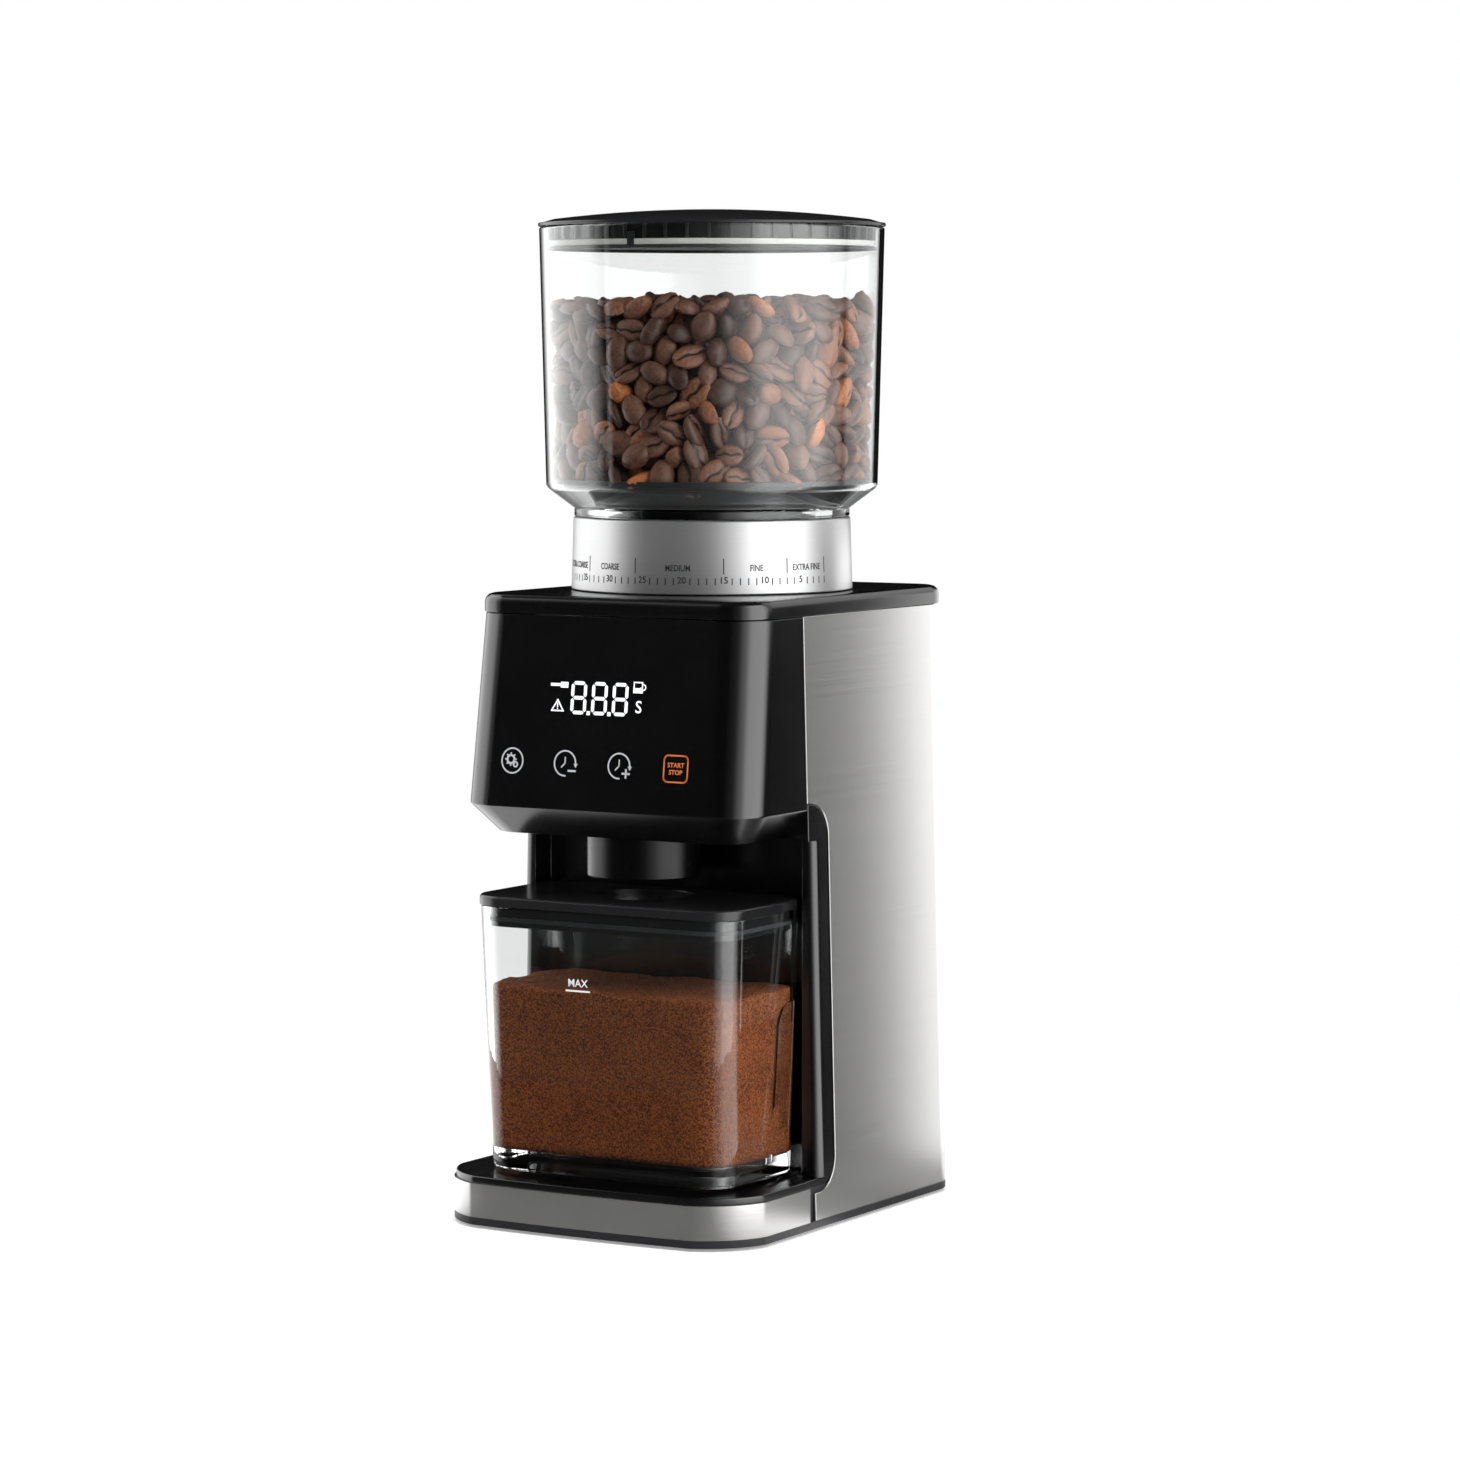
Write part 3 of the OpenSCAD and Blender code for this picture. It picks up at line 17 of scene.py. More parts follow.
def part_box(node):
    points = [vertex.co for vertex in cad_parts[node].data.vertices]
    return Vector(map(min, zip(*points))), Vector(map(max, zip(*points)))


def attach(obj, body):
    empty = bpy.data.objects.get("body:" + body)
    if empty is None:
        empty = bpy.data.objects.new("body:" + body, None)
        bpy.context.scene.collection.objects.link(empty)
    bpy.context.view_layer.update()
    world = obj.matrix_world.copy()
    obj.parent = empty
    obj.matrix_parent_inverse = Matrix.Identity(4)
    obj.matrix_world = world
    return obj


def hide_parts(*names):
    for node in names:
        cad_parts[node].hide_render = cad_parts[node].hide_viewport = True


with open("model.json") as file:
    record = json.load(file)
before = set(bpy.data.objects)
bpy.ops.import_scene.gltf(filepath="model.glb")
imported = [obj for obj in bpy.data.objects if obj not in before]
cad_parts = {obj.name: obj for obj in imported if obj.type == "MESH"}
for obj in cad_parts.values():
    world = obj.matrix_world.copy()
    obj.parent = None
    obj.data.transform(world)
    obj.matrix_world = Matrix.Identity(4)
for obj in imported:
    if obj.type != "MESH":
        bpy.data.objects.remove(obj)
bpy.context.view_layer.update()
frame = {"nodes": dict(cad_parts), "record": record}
bpy.ops.object.select_all(action="DESELECT")
mm = 0.001
print("nodes in the frame:", len(frame["nodes"]))

# %% [markdown]
# ## Camera
# The camera is long, like a 118 mm lens, which keeps the upright edges upright. It stands a little above the
# grinder and to its right, so that the front, the right side and the top of the collar all show. A shorter
# lens closer by would show the same sides, but it would make the sides lean and the hopper look too large.

# %% Camera
SENSOR_MM = 36
IMAGE_PIXELS = 1460
FOCAL_PIXELS = 4800
LOOKS_DOWN, STANDS_RIGHT = 4.60, 30.81  # degrees


def stand_camera():
    data = bpy.data.cameras.new("camera")
    data.sensor_width = SENSOR_MM
    data.lens = FOCAL_PIXELS / IMAGE_PIXELS * SENSOR_MM
    data.clip_start, data.clip_end = 0.05, 50
    camera = bpy.data.objects.new("camera", data)
    bpy.context.scene.collection.objects.link(camera)
    camera.location = (0.96842, -1.60063, 0.33784)
    camera.rotation_euler = (math.radians(90 - LOOKS_DOWN), 0, math.radians(STANDS_RIGHT))
    bpy.context.scene.camera = camera
    return camera


camera = stand_camera()
bpy.context.scene.view_settings.view_transform = "Standard"
print("camera lens", round(camera.data.lens, 2), "mm")

# %% [markdown]
# ## Helpers for modelling
# The same few moves come back for every shell: add a primitive at its size, pick edges or faces by where they
# are, run an operator on them, and finish with merged doubles, outward faces and smooth shading. Picking by
# place is sturdier than picking by number, because the numbers change whenever a step before is changed.

# %% Picking and finishing
def clean_hands():
    """Back to object mode with nothing selected."""
    if bpy.context.object and bpy.context.object.mode != "OBJECT":
        bpy.ops.object.mode_set(mode="OBJECT")
    bpy.ops.object.select_all(action="DESELECT")


def take(piece):
    """Makes one piece the active and only selected object."""
    clean_hands()
    piece.select_set(True)
    bpy.context.view_layer.objects.active = piece


def named(name):
    """Names the object that was just added and opens it in edit mode."""
    piece = bpy.context.object
    piece.name = piece.data.name = name
    bpy.ops.object.transform_apply(location=True, rotation=True, scale=True)
    bpy.ops.object.mode_set(mode="EDIT")
    bpy.ops.mesh.select_all(action="SELECT")
    return piece


def edit_all(piece):
    """Opens a piece in edit mode with all of it selected."""
    take(piece)
    bpy.ops.object.mode_set(mode="EDIT")
    bpy.ops.mesh.select_all(action="SELECT")


def object_mode(piece):
    """Closes a piece that is open in edit mode."""
    bpy.ops.object.mode_set(mode="OBJECT")
    return piece


def pick(kind, test):
    """In edit mode, selects the vertices, edges or faces that pass the test of (middle in mm, element)."""
    bpy.ops.mesh.select_mode(type=kind)
    bpy.ops.mesh.select_all(action="DESELECT")
    bm = bmesh.from_edit_mesh(bpy.context.object.data)
    bm.normal_update()
    for e in {"VERT": bm.verts, "EDGE": bm.edges, "FACE": bm.faces}[kind]:
        corners = [e] if kind == "VERT" else e.verts
        middle = sum((v.co for v in corners), Vector()) / len(corners) / mm
        if test(middle, e):
            e.select_set(True)
    bm.select_flush_mode()
    bmesh.update_edit_mesh(bpy.context.object.data)


def upright(edge):
    """True for an edge that runs mostly up and down."""
    run = edge.verts[0].co - edge.verts[1].co
    return abs(run.z) > 0.8 * run.length


def faces_up(middle, face):
    return face.normal.z > 0.9


def faces_down(middle, face):
    return face.normal.z < -0.9


def modify(piece, kind, **settings):
    """Adds a modifier with its settings and applies it at once."""
    take(piece)
    modifier = piece.modifiers.new(kind.lower(), kind)
    for key, value in settings.items():
        setattr(modifier, key, value)
    bpy.ops.object.modifier_apply(modifier=modifier.name)


def cut(piece, cutter, how="DIFFERENCE"):
    """Cuts a piece with another mesh, or joins the two into one solid. The other mesh is then thrown away."""
    clean_hands()
    modify(piece, "BOOLEAN", object=cutter, operation=how, solver="EXACT")
    bpy.data.objects.remove(cutter)


def finish_mesh(piece, angle=35):
    """Merges doubles, turns the faces outwards and shades by angle, with flat faces kept flat."""
    edit_all(piece)
    bpy.ops.mesh.remove_doubles(threshold=0.5e-6)
    bpy.ops.mesh.delete_loose()
    bpy.ops.mesh.select_all(action="SELECT")
    bpy.ops.mesh.normals_make_consistent(inside=False)
    object_mode(piece)
    bpy.ops.object.shade_smooth_by_angle(angle=math.radians(angle))
    modify(piece, "WEIGHTED_NORMAL", keep_sharp=True, weight=90)
    piece.select_set(False)
    return piece


def soften(piece, width, segments=2):
    """Rounds every edge sharper than 30 degrees by a width in mm."""
    modify(piece, "BEVEL", width=width * mm, segments=segments, limit_method="ANGLE",
           angle_limit=math.radians(30), use_clamp_overlap=False)


def wear(piece, body, finish, *nodes):
    """Gives a finished piece its finish and its body, and hides the nodes of the frame that it stands for."""
    piece.data.materials.clear()
    piece.data.materials.append(finish)
    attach(piece, body)
    if nodes:
        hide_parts(*nodes)
    print(f"{piece.name}: {len(piece.data.polygons)} faces, {finish.name}")
    return piece


def own_copy(piece):
    """A copy of a piece with a mesh of its own."""
    copy = piece.copy()
    copy.data = piece.data.copy()
    bpy.context.scene.collection.objects.link(copy)
    return copy


def joined(shapes, name):
    """Joins some pieces into the first of them."""
    clean_hands()
    for shape in shapes:
        shape.select_set(True)
    bpy.context.view_layer.objects.active = shapes[0]
    bpy.ops.object.join()
    shapes[0].name = shapes[0].data.name = name
    return shapes[0]


print("picking and finishing ready")

# %% Blocks, pegs and turned pieces
def block(name, low, high):
    """A cube from one corner to the other, in mm, open in edit mode."""
    clean_hands()
    low, high = Vector(low) * mm, Vector(high) * mm
    bpy.ops.mesh.primitive_cube_add(size=1, location=(low + high) / 2, scale=high - low)
    return named(name)


def peg(name, centre, radius, length, vertices):
    """An upright cylinder in mm, to cut or to add."""
    clean_hands()
    bpy.ops.mesh.primitive_cylinder_add(vertices=vertices, radius=radius * mm, depth=length * mm,
                                        location=Vector(centre) * mm)
    return object_mode(named(name))


def round_corners(points, steps=4):
    """An outline of (radius, height) where a point may carry a third value, the rounding of that corner."""
    outline = []
    for i, point in enumerate(points):
        here = Vector((*point[:2], 0))
        if len(point) == 2:
            outline.append((here.x, here.y))
            continue
        before = Vector((*points[i - 1][:2], 0)) - here
        after = Vector((*points[(i + 1) % len(points)][:2], 0)) - here
        half = before.angle(after) / 2
        run = min(point[2] / math.tan(half), before.length / 2.05, after.length / 2.05)
        radius = run * math.tan(half)
        centre = here + (before.normalized() + after.normalized()).normalized() * radius / math.sin(half)
        start, end = here + before.normalized() * run - centre, here + after.normalized() * run - centre
        for k in range(steps + 1):
            spoke = start.lerp(end, k / steps).normalized() * radius
            outline.append((centre.x + spoke.x, centre.y + spoke.y))
    return outline


HUB = (0, 9.5)  # where the hopper, the collar and the burrs stand, in plan and in mm


def turned(name, outline, centre=HUB, segments=160, closed=True):
    """Turns an outline of (radius, height) in mm round an upright axis, one ring at a time."""
    clean_hands()
    (r, z), rest = outline[0], outline[1:] + (outline[:1] if closed else [])
    spot = Vector((centre[0], centre[1], 0)) * mm
    bpy.ops.mesh.primitive_circle_add(vertices=segments, radius=r * mm, location=spot + Vector((0, 0, z * mm)))
    piece = named(name)
    for r1, z1 in rest:
        bpy.ops.mesh.extrude_edges_move(TRANSFORM_OT_translate={"value": (0, 0, (z1 - z) * mm)})
        bpy.ops.transform.resize(value=(r1 / r, r1 / r, 1), center_override=(spot.x, spot.y, z1 * mm))
        r, z = r1, z1
    return object_mode(piece)


def push_in_or_out(distance):
    """In edit mode, extrudes what is selected up or down by a distance in mm."""
    bpy.ops.mesh.extrude_region_move(TRANSFORM_OT_translate={"value": (0, 0, distance * mm)})


def move_picked(test, x=0.0, y=0.0):
    """In edit mode, moves the vertices that pass a test of (place in mm, vertex) by a distance in mm."""
    pick("VERT", test)
    bpy.ops.transform.translate(value=(x * mm, y * mm, 0))


def scale_picked(test, ratio_x, ratio_y, centre):
    """In edit mode, scales the vertices that pass a test in plan, about a centre in mm."""
    pick("VERT", test)
    bpy.ops.transform.resize(value=(ratio_x, ratio_y, 1), center_override=[c * mm for c in centre])


def inset_picked(test, width):
    """In edit mode, insets the faces that pass a test of (middle in mm, face) by a width in mm."""
    pick("FACE", test)
    bpy.ops.mesh.inset(thickness=width * mm)


def bevel_picked(test, width, segments):
    """In edit mode, bevels the edges that pass a test of (middle in mm, edge) by a width in mm."""
    pick("EDGE", test)
    bpy.ops.mesh.bevel(offset=width * mm, segments=segments, affect="EDGES")


def refined(node_name, softness, segments):
    """A copy of a CAD node's mesh, merged and rid of its inner edges, with its sharp edges softened."""
    clean_hands()
    piece = own_copy(frame["nodes"][node_name])
    piece.name = piece.data.name = node_name + "_shell"
    for key in list(piece.keys()):
        del piece[key]
    piece.parent = None
    piece.matrix_world = Matrix()
    edit_all(piece)
    bpy.ops.mesh.remove_doubles(threshold=1e-6)
    bpy.ops.mesh.dissolve_limited(angle_limit=math.radians(0.3))
    object_mode(piece)
    if softness:
        soften(piece, softness, segments)
    return piece


print("blocks, pegs and turned pieces ready")

# %% [markdown]
# ## Finishes
# Each finish is a material of its own, built from a Principled shader. What several finishes share, such as
# a brushed grain or the faint unevenness of a moulded or handled surface, is a node group that only puts out
# masks and heights. Grain follows the way each part was really brushed: along the depth on the flat sides,
# and round and round on the collar.

# %% Nodes and their wiring
def plug(tree, socket, value):
    """Gives a socket a plain value, or a link from another node's output."""
    if isinstance(value, bpy.types.NodeSocket):
        tree.links.new(value, socket)
    else:
        socket.default_value = value


def node(tree, kind, plugs=None, **settings):
    """A node with its settings, and what goes into its sockets."""
    n = tree.nodes.new(kind)
    for key, value in settings.items():
        setattr(n, key, value)
    for socket, value in (plugs or {}).items():
        plug(tree, n.inputs[socket], value)
    return n


def maths(tree, operation, *values, **settings):
    return node(tree, "ShaderNodeMath", dict(enumerate(values)), operation=operation, **settings).outputs[0]


def noise(tree, vector, scale, detail=2.0):
    plugs = {"Vector": vector, "Scale": scale, "Detail": detail}
    return node(tree, "ShaderNodeTexNoise", plugs).outputs["Fac"]


def remap(tree, value, low, high, to_low=0.0, to_high=1.0, **settings):
    """Stretches a value from one range to another."""
    return node(tree, "ShaderNodeMapRange", {"Value": value, "From Min": low, "From Max": high,
                                             "To Min": to_low, "To Max": to_high}, **settings).outputs["Result"]


def ramp(tree, value, stops, interpolation="LINEAR"):
    """A colour that follows a mask through (place, colour) stops."""
    n = node(tree, "ShaderNodeValToRGB", {"Fac": value})
    n.color_ramp.interpolation = interpolation
    marks = n.color_ramp.elements
    for mark, (place, color) in zip(marks, (stops[0], stops[-1])):
        mark.position, mark.color = place, (*color, 1)
    for place, color in stops[1:-1]:
        marks.new(place).color = (*color, 1)
    return n.outputs["Color"]


print("wiring helpers ready")

# %% Shared effects as node groups
def new_group(name, inputs, outputs):
    group = bpy.data.node_groups.new(name, "ShaderNodeTree")
    for label, kind, value in inputs:
        group.interface.new_socket(name=label, in_out="INPUT", socket_type=kind).default_value = value
    for label in outputs:
        group.interface.new_socket(name=label, in_out="OUTPUT", socket_type="NodeSocketFloat")
    return group, group.nodes.new("NodeGroupInput").outputs, group.nodes.new("NodeGroupOutput").inputs


def brushed_group():
    """Long fine scratches along one direction of the stretched coordinates."""
    g, given, out = new_group("brushed grain", [("Vector", "NodeSocketVector", (0, 0, 0)),
                                                ("Stretch", "NodeSocketVector", (1, 1, 1))], ["Scratches"])
    both_given = {0: given["Vector"], 1: given["Stretch"]}
    scaled = node(g, "ShaderNodeVectorMath", both_given, operation="MULTIPLY").outputs[0]
    both = maths(g, "ADD", noise(g, scaled, 1.0, 3.0), noise(g, scaled, 0.31))
    plug(g, out["Scratches"], maths(g, "MULTIPLY", both, 0.5))
    return g


def handled_group():
    """The faint unevenness of a moulded surface: a fine texture and slow smudges."""
    g, given, out = new_group("moulded surface", [("Vector", "NodeSocketVector", (0, 0, 0)),
                                                  ("Texture Scale", "NodeSocketFloat", 900.0),
                                                  ("Smudge Scale", "NodeSocketFloat", 22.0)], ["Texture", "Smudge"])
    plug(g, out["Texture"], noise(g, given["Vector"], given["Texture Scale"]))
    plug(g, out["Smudge"], noise(g, given["Vector"], given["Smudge Scale"], 4.0))
    return g


brushed, handled = brushed_group(), handled_group()
print("node groups:", brushed.name, "and", handled.name)

# %% Building blocks of a material
def new_finish(name, slot, color, metallic=0.0, roughness=0.5, **sockets):
    """A Principled material with plain values on its sockets. Names with _ stand for the socket's spaces."""
    mat = bpy.data.materials.new(name)
    mat.use_nodes = True
    mat["slot"] = slot
    mat.diffuse_color = (*color, 1)
    values = {"Base_Color": (*color, 1), "Metallic": metallic, "Roughness": roughness, **sockets}
    for key, value in values.items():
        shader_of(mat).inputs[key.replace("_", " ")].default_value = value
    return mat


def shader_of(mat):
    return mat.node_tree.nodes["Principled BSDF"]


def ramp_to(mat, value, socket, low, high, start=0.3, end=0.7):
    """Spreads a 0..1 mask between two values and feeds it to a socket of the shader."""
    plug(mat.node_tree, shader_of(mat).inputs[socket], remap(mat.node_tree, value, start, end, low, high))


def tint(mat, value, stops):
    """Feeds a mask, turned into colours, to the base colour."""
    plug(mat.node_tree, shader_of(mat).inputs["Base Color"], ramp(mat.node_tree, value, stops))


def bump(mat, height, strength, distance):
    b = node(mat.node_tree, "ShaderNodeBump", {"Strength": strength, "Distance": distance, "Height": height})
    plug(mat.node_tree, shader_of(mat).inputs["Normal"], b.outputs["Normal"])


def object_place(mat):
    return node(mat.node_tree, "ShaderNodeTexCoord").outputs["Object"]


def moulded(name, slot, color, roughness, grain=900.0, depth=0.00002, spread=0.06, light=None, **sockets):
    """Moulded plastic or rubber: even colour, a little texture, and smudges that change the gloss."""
    mat = new_finish(name, slot, color, roughness=roughness, **sockets)
    surface = node(mat.node_tree, "ShaderNodeGroup", node_tree=handled)
    plug(mat.node_tree, surface.inputs["Vector"], object_place(mat))
    surface.inputs["Texture Scale"].default_value = grain
    ramp_to(mat, surface.outputs["Smudge"], "Roughness", max(0.02, roughness - spread), roughness + spread)
    tint(mat, surface.outputs["Smudge"], [(0.3, color), (0.7, light or [min(1, c * 1.12) for c in color])])
    if depth:
        bump(mat, surface.outputs["Texture"], 0.3, depth)
    return mat


def brushed_metal(name, slot, color, roughness, stretch, depth=0.00001, contrast=0.12, turned_grain=False,
                  spread=0.07, metallic=1.0):
    """Metal with a grain: stretch is how fast the scratches change along each axis, small along the grain."""
    mat = new_finish(name, slot, color, metallic, roughness)
    place = turned_place(mat) if turned_grain else object_place(mat)
    grain = node(mat.node_tree, "ShaderNodeGroup", node_tree=brushed)
    plug(mat.node_tree, grain.inputs["Vector"], place)
    grain.inputs["Stretch"].default_value = stretch
    tint(mat, grain.outputs["Scratches"], [(0.35, [c * (1 - contrast) for c in color]),
                                           (0.65, [min(1, c * (1 + contrast)) for c in color])])
    ramp_to(mat, grain.outputs["Scratches"], "Roughness", roughness - spread, roughness + spread)
    bump(mat, grain.outputs["Scratches"], 0.35, depth)
    return mat


def turned_place(mat):
    """Coordinates of (distance from the hopper axis, nothing, height), so that a grain runs round the axis."""
    t = mat.node_tree
    place = node(t, "ShaderNodeSeparateXYZ", {0: object_place(mat)}).outputs
    back = maths(t, "POWER", maths(t, "SUBTRACT", place["Y"], axis.y), 2.0)
    reach = maths(t, "SQRT", maths(t, "ADD", back, maths(t, "POWER", place["X"], 2.0)))
    return node(t, "ShaderNodeCombineXYZ", {"X": reach, "Z": place["Z"]}).outputs[0]


hopper_low, hopper_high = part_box("hopper")
axis = Vector(((hopper_low.x + hopper_high.x) / 2, (hopper_low.y + hopper_high.y) / 2))
print("hopper axis at", [round(c / mm, 2) for c in axis], "mm")

# %% [markdown]
# ## Clear plastic
# Hopper and jar are moulded in clear plastic, which bends light a little less than glass. A see-through mix
# would be quicker, but it would lose the bright and dark lines along the thick edges. Plain refraction throws
# a black shadow, so shadow rays pass through a faint tint in its place.

# %% Clear plastic
def clear_plastic():
    """A clear wall: sharp refraction, faint smudges, and a shadow that lets the light through."""
    mat = new_finish("clear moulding", "clear_plastic", (0.97, 0.985, 0.98), roughness=0.02,
                     Transmission_Weight=1.0, IOR=1.49)
    t = mat.node_tree
    surface = node(t, "ShaderNodeGroup", node_tree=handled)
    plug(t, surface.inputs["Vector"], object_place(mat))
    ramp_to(mat, surface.outputs["Smudge"], "Roughness", 0.0, 0.05, 0.35, 0.75)
    through = node(t, "ShaderNodeBsdfTransparent", {"Color": (0.9, 0.92, 0.91, 1)})
    shadow = node(t, "ShaderNodeLightPath").outputs["Is Shadow Ray"]
    either = node(t, "ShaderNodeMixShader", {0: shadow, 1: shader_of(mat).outputs[0], 2: through.outputs[0]})
    plug(t, t.nodes["Material Output"].inputs["Surface"], either.outputs[0])
    return mat


clear = clear_plastic()
print("clear plastic with IOR", round(shader_of(clear).inputs["IOR"].default_value, 2))

# %% [markdown]
# ## Plastics, rubber and small electrical parts
# Panel, deck and base are polished black plastic, the funnel and covers are satin. They differ mainly in how
# rough and how textured they are, so one function makes them all. An even value would look like paint: the
# slow smudges in the gloss are what makes a large black face look moulded and handled.

# %% Plastics, rubber and small electrical parts
gloss_black = moulded("gloss black", "gloss_black", (0.0018, 0.0018, 0.002), 0.2, grain=45, depth=1e-6,
                      spread=0.03, Specular_IOR_Level=0.9)
satin_black = moulded("satin black", "satin_black", (0.022, 0.022, 0.024), 0.38, grain=2600, depth=1e-5)
silicone = moulded("silicone", "silicone", (0.035, 0.035, 0.038), 0.55, grain=1500, depth=1e-5)
white_nylon = moulded("white nylon", "white_nylon", (0.72, 0.71, 0.67), 0.42, grain=1200, depth=1e-5)
for name, slot, color, roughness, grain, depth in (
        ("black rubber", "rubber", (0.02, 0.02, 0.02), 0.75, 1800, 2e-5),
        ("dark nylon", "dark_nylon", (0.05, 0.05, 0.055), 0.45, 1200, 1e-5),
        ("display frame", "display_white", (0.6, 0.6, 0.6), 0.4, 1000, 5e-6),
        ("carbon brush", "carbon", (0.03, 0.03, 0.032), 0.5, 3000, 1e-5),
        ("ferrite magnet", "magnet", (0.06, 0.06, 0.062), 0.6, 2200, 2e-5)):
    moulded(name, slot, color, roughness, grain, depth)
moulded("circuit board", "circuit_board", (0.01, 0.09, 0.035), 0.3, 700, 1.5e-5, light=(0.03, 0.17, 0.07))
moulded("windings and core", "winding", (0.32, 0.12, 0.05), 0.35, 1800, 3e-5, light=(0.5, 0.24, 0.12), Metallic=0.7)
print("moulded finishes:", ", ".join(m.name for m in (gloss_black, satin_black, silicone, white_nylon)))

# %% [markdown]
# ## Metals
# The steel sides are brushed along the depth, the collar is brushed on a lathe, and the parts inside are
# ground, cast or sintered. Anisotropic shading could stand for the grain, but it needs tangents on every mesh.
# Fine noise, stretched along the grain, gives real scratches that catch the light one by one.

# %% Metals
brushed_steel = brushed_metal("brushed steel", "brushed_steel", (0.6, 0.595, 0.585), 0.24, (70, 22, 6500),
                              depth=6e-7, contrast=0.03, spread=0.02, metallic=0.84)
collar_metal = brushed_metal("brushed collar", "collar_metal", (0.55, 0.55, 0.555), 0.36, (5200, 1, 5200),
                             depth=3e-7, contrast=0.02, turned_grain=True, spread=0.015, metallic=0.78)
for name, slot, color, roughness, stretch, depth, contrast in (
        ("screw steel", "screw_steel", (0.55, 0.55, 0.56), 0.3, (900, 900, 900), 1e-5, 0.12),
        ("polished steel", "polished_steel", (0.6, 0.6, 0.6), 0.18, (900, 900, 900), 3e-6, 0.12),
        ("ground burr steel", "burr_steel", (0.38, 0.375, 0.37), 0.32, (1500, 1500, 3500), 1e-5, 0.12),
        ("cast alloy", "cast_alloy", (0.42, 0.42, 0.43), 0.5, (1300, 1300, 1300), 3e-5, 0.1),
        ("sintered bronze", "bronze", (0.45, 0.27, 0.12), 0.4, (2500, 2500, 2500), 1e-5, 0.12),
        ("spring bronze", "spring_bronze", (0.6, 0.42, 0.2), 0.3, (600, 600, 2200), 5e-6, 0.12)):
    brushed_metal(name, slot, color, roughness, stretch, depth, contrast)
print("metals:", brushed_steel.name, "and", collar_metal.name, "among", len(bpy.data.materials), "finishes")

# %% [markdown]
# ## Pieces that keep their own meshes
# Burrs, gears, motor, boards and screws lie inside closed shells. They keep the meshes of their solids, because
# modelling them again would change nothing that shows, and each gets the finish that its record names.

# %% Every node of the frame gets the finish of its slot
finish_of = {m["slot"]: m for m in bpy.data.materials if "slot" in m.keys()}
for part in frame["record"]["subparts"]:
    solid = frame["nodes"][part["node"]]
    solid.data.materials.clear()
    solid.data.materials.append(finish_of[part["material_slot"]])

# %% [markdown]
# ## The studio
# Gloss black and clear plastic show little but what they mirror. Two tall soft panels stand left and right, so
# that every upright edge carries a clean white line, and a dark card on the camera's side keeps the black faces
# black. The panels fade towards their edges, as a real softbox does. All cards are seen by mirrors alone. Real
# lamps could do the same, but they would also light the matt surfaces and show through the clear walls.

# %% What a straight look meets
def straight_look(t):
    """1 while a ray has met nothing but clear walls since it left the camera, else 0."""
    ray = node(t, "ShaderNodeLightPath").outputs
    return maths(t, "LESS_THAN", maths(t, "ADD", ray["Diffuse Depth"], ray["Glossy Depth"]), 0.5)


def card_finish(name):
    """An empty material for a card."""
    mat = bpy.data.materials.new(name)
    mat.use_nodes = True
    mat.node_tree.nodes.clear()
    return mat


def unseen_when_straight(t, glow):
    """Shows a card to mirrors and to what lies behind clear walls, and never to the camera through them."""
    clear_way = node(t, "ShaderNodeBsdfTransparent")
    either = node(t, "ShaderNodeMixShader", {0: straight_look(t), 1: glow.outputs[0], 2: clear_way.outputs[0]})
    node(t, "ShaderNodeOutputMaterial", {"Surface": either.outputs[0]})


print("straight looks pass the cards")

# %% Standing cards, bent round the grinder in plan
def bearing(point):
    """Degrees from straight in front (-Y), counted towards the right (+X)."""
    return math.degrees(math.atan2(point.x, -point.y))


def standing_card(name, first, last, radius, low, high):
    """An upright strip of a cylinder wall, in metres, between two bearings."""
    clean_hands()
    bpy.ops.mesh.primitive_circle_add(vertices=180, radius=radius, location=(0, 0, low))
    card = named(name)
    pick("EDGE", lambda middle, e: not first < bearing(middle) < last)
    bpy.ops.mesh.delete(type="EDGE")
    bpy.ops.mesh.select_all(action="SELECT")
    bpy.ops.mesh.extrude_edges_move(TRANSFORM_OT_translate={"value": (0, 0, high - low)})
    return object_mode(card)


def card_glow(name, stops, along=None):
    """Light that changes with the bearing in degrees, or with the way in metres along a direction.
    Its stops are (place, strength), joined by soft ramps."""
    mat = card_finish(name)
    t = mat.node_tree
    if along:
        way = node(t, "ShaderNodeVectorMath", {0: object_place(mat), 1: along}, operation="DOT_PRODUCT")
        place = way.outputs["Value"]
    else:
        plan = node(t, "ShaderNodeSeparateXYZ", {0: object_place(mat)}).outputs
        place = maths(t, "DEGREES", maths(t, "ARCTAN2", plan["X"], maths(t, "MULTIPLY", plan["Y"], -1.0)))
    first, last = stops[0][0], stops[-1][0]
    marks = [((p - first) / (last - first), (level, level, level)) for p, level in stops]
    light = ramp(t, remap(t, place, first, last), marks, "EASE")
    unseen_when_straight(t, node(t, "ShaderNodeEmission", {"Color": light}))
    return mat


def plain_cloth(name, level):
    """A card of one even grey level."""
    mat = card_finish(name)
    unseen_when_straight(mat.node_tree, node(mat.node_tree, "ShaderNodeEmission", {"Strength": level}))
    return mat


def hide_card(card, finish):
    card.data.materials.append(finish)
    card.visible_camera = card.visible_shadow = card.visible_diffuse = False
    print(card.name, "stands ready")


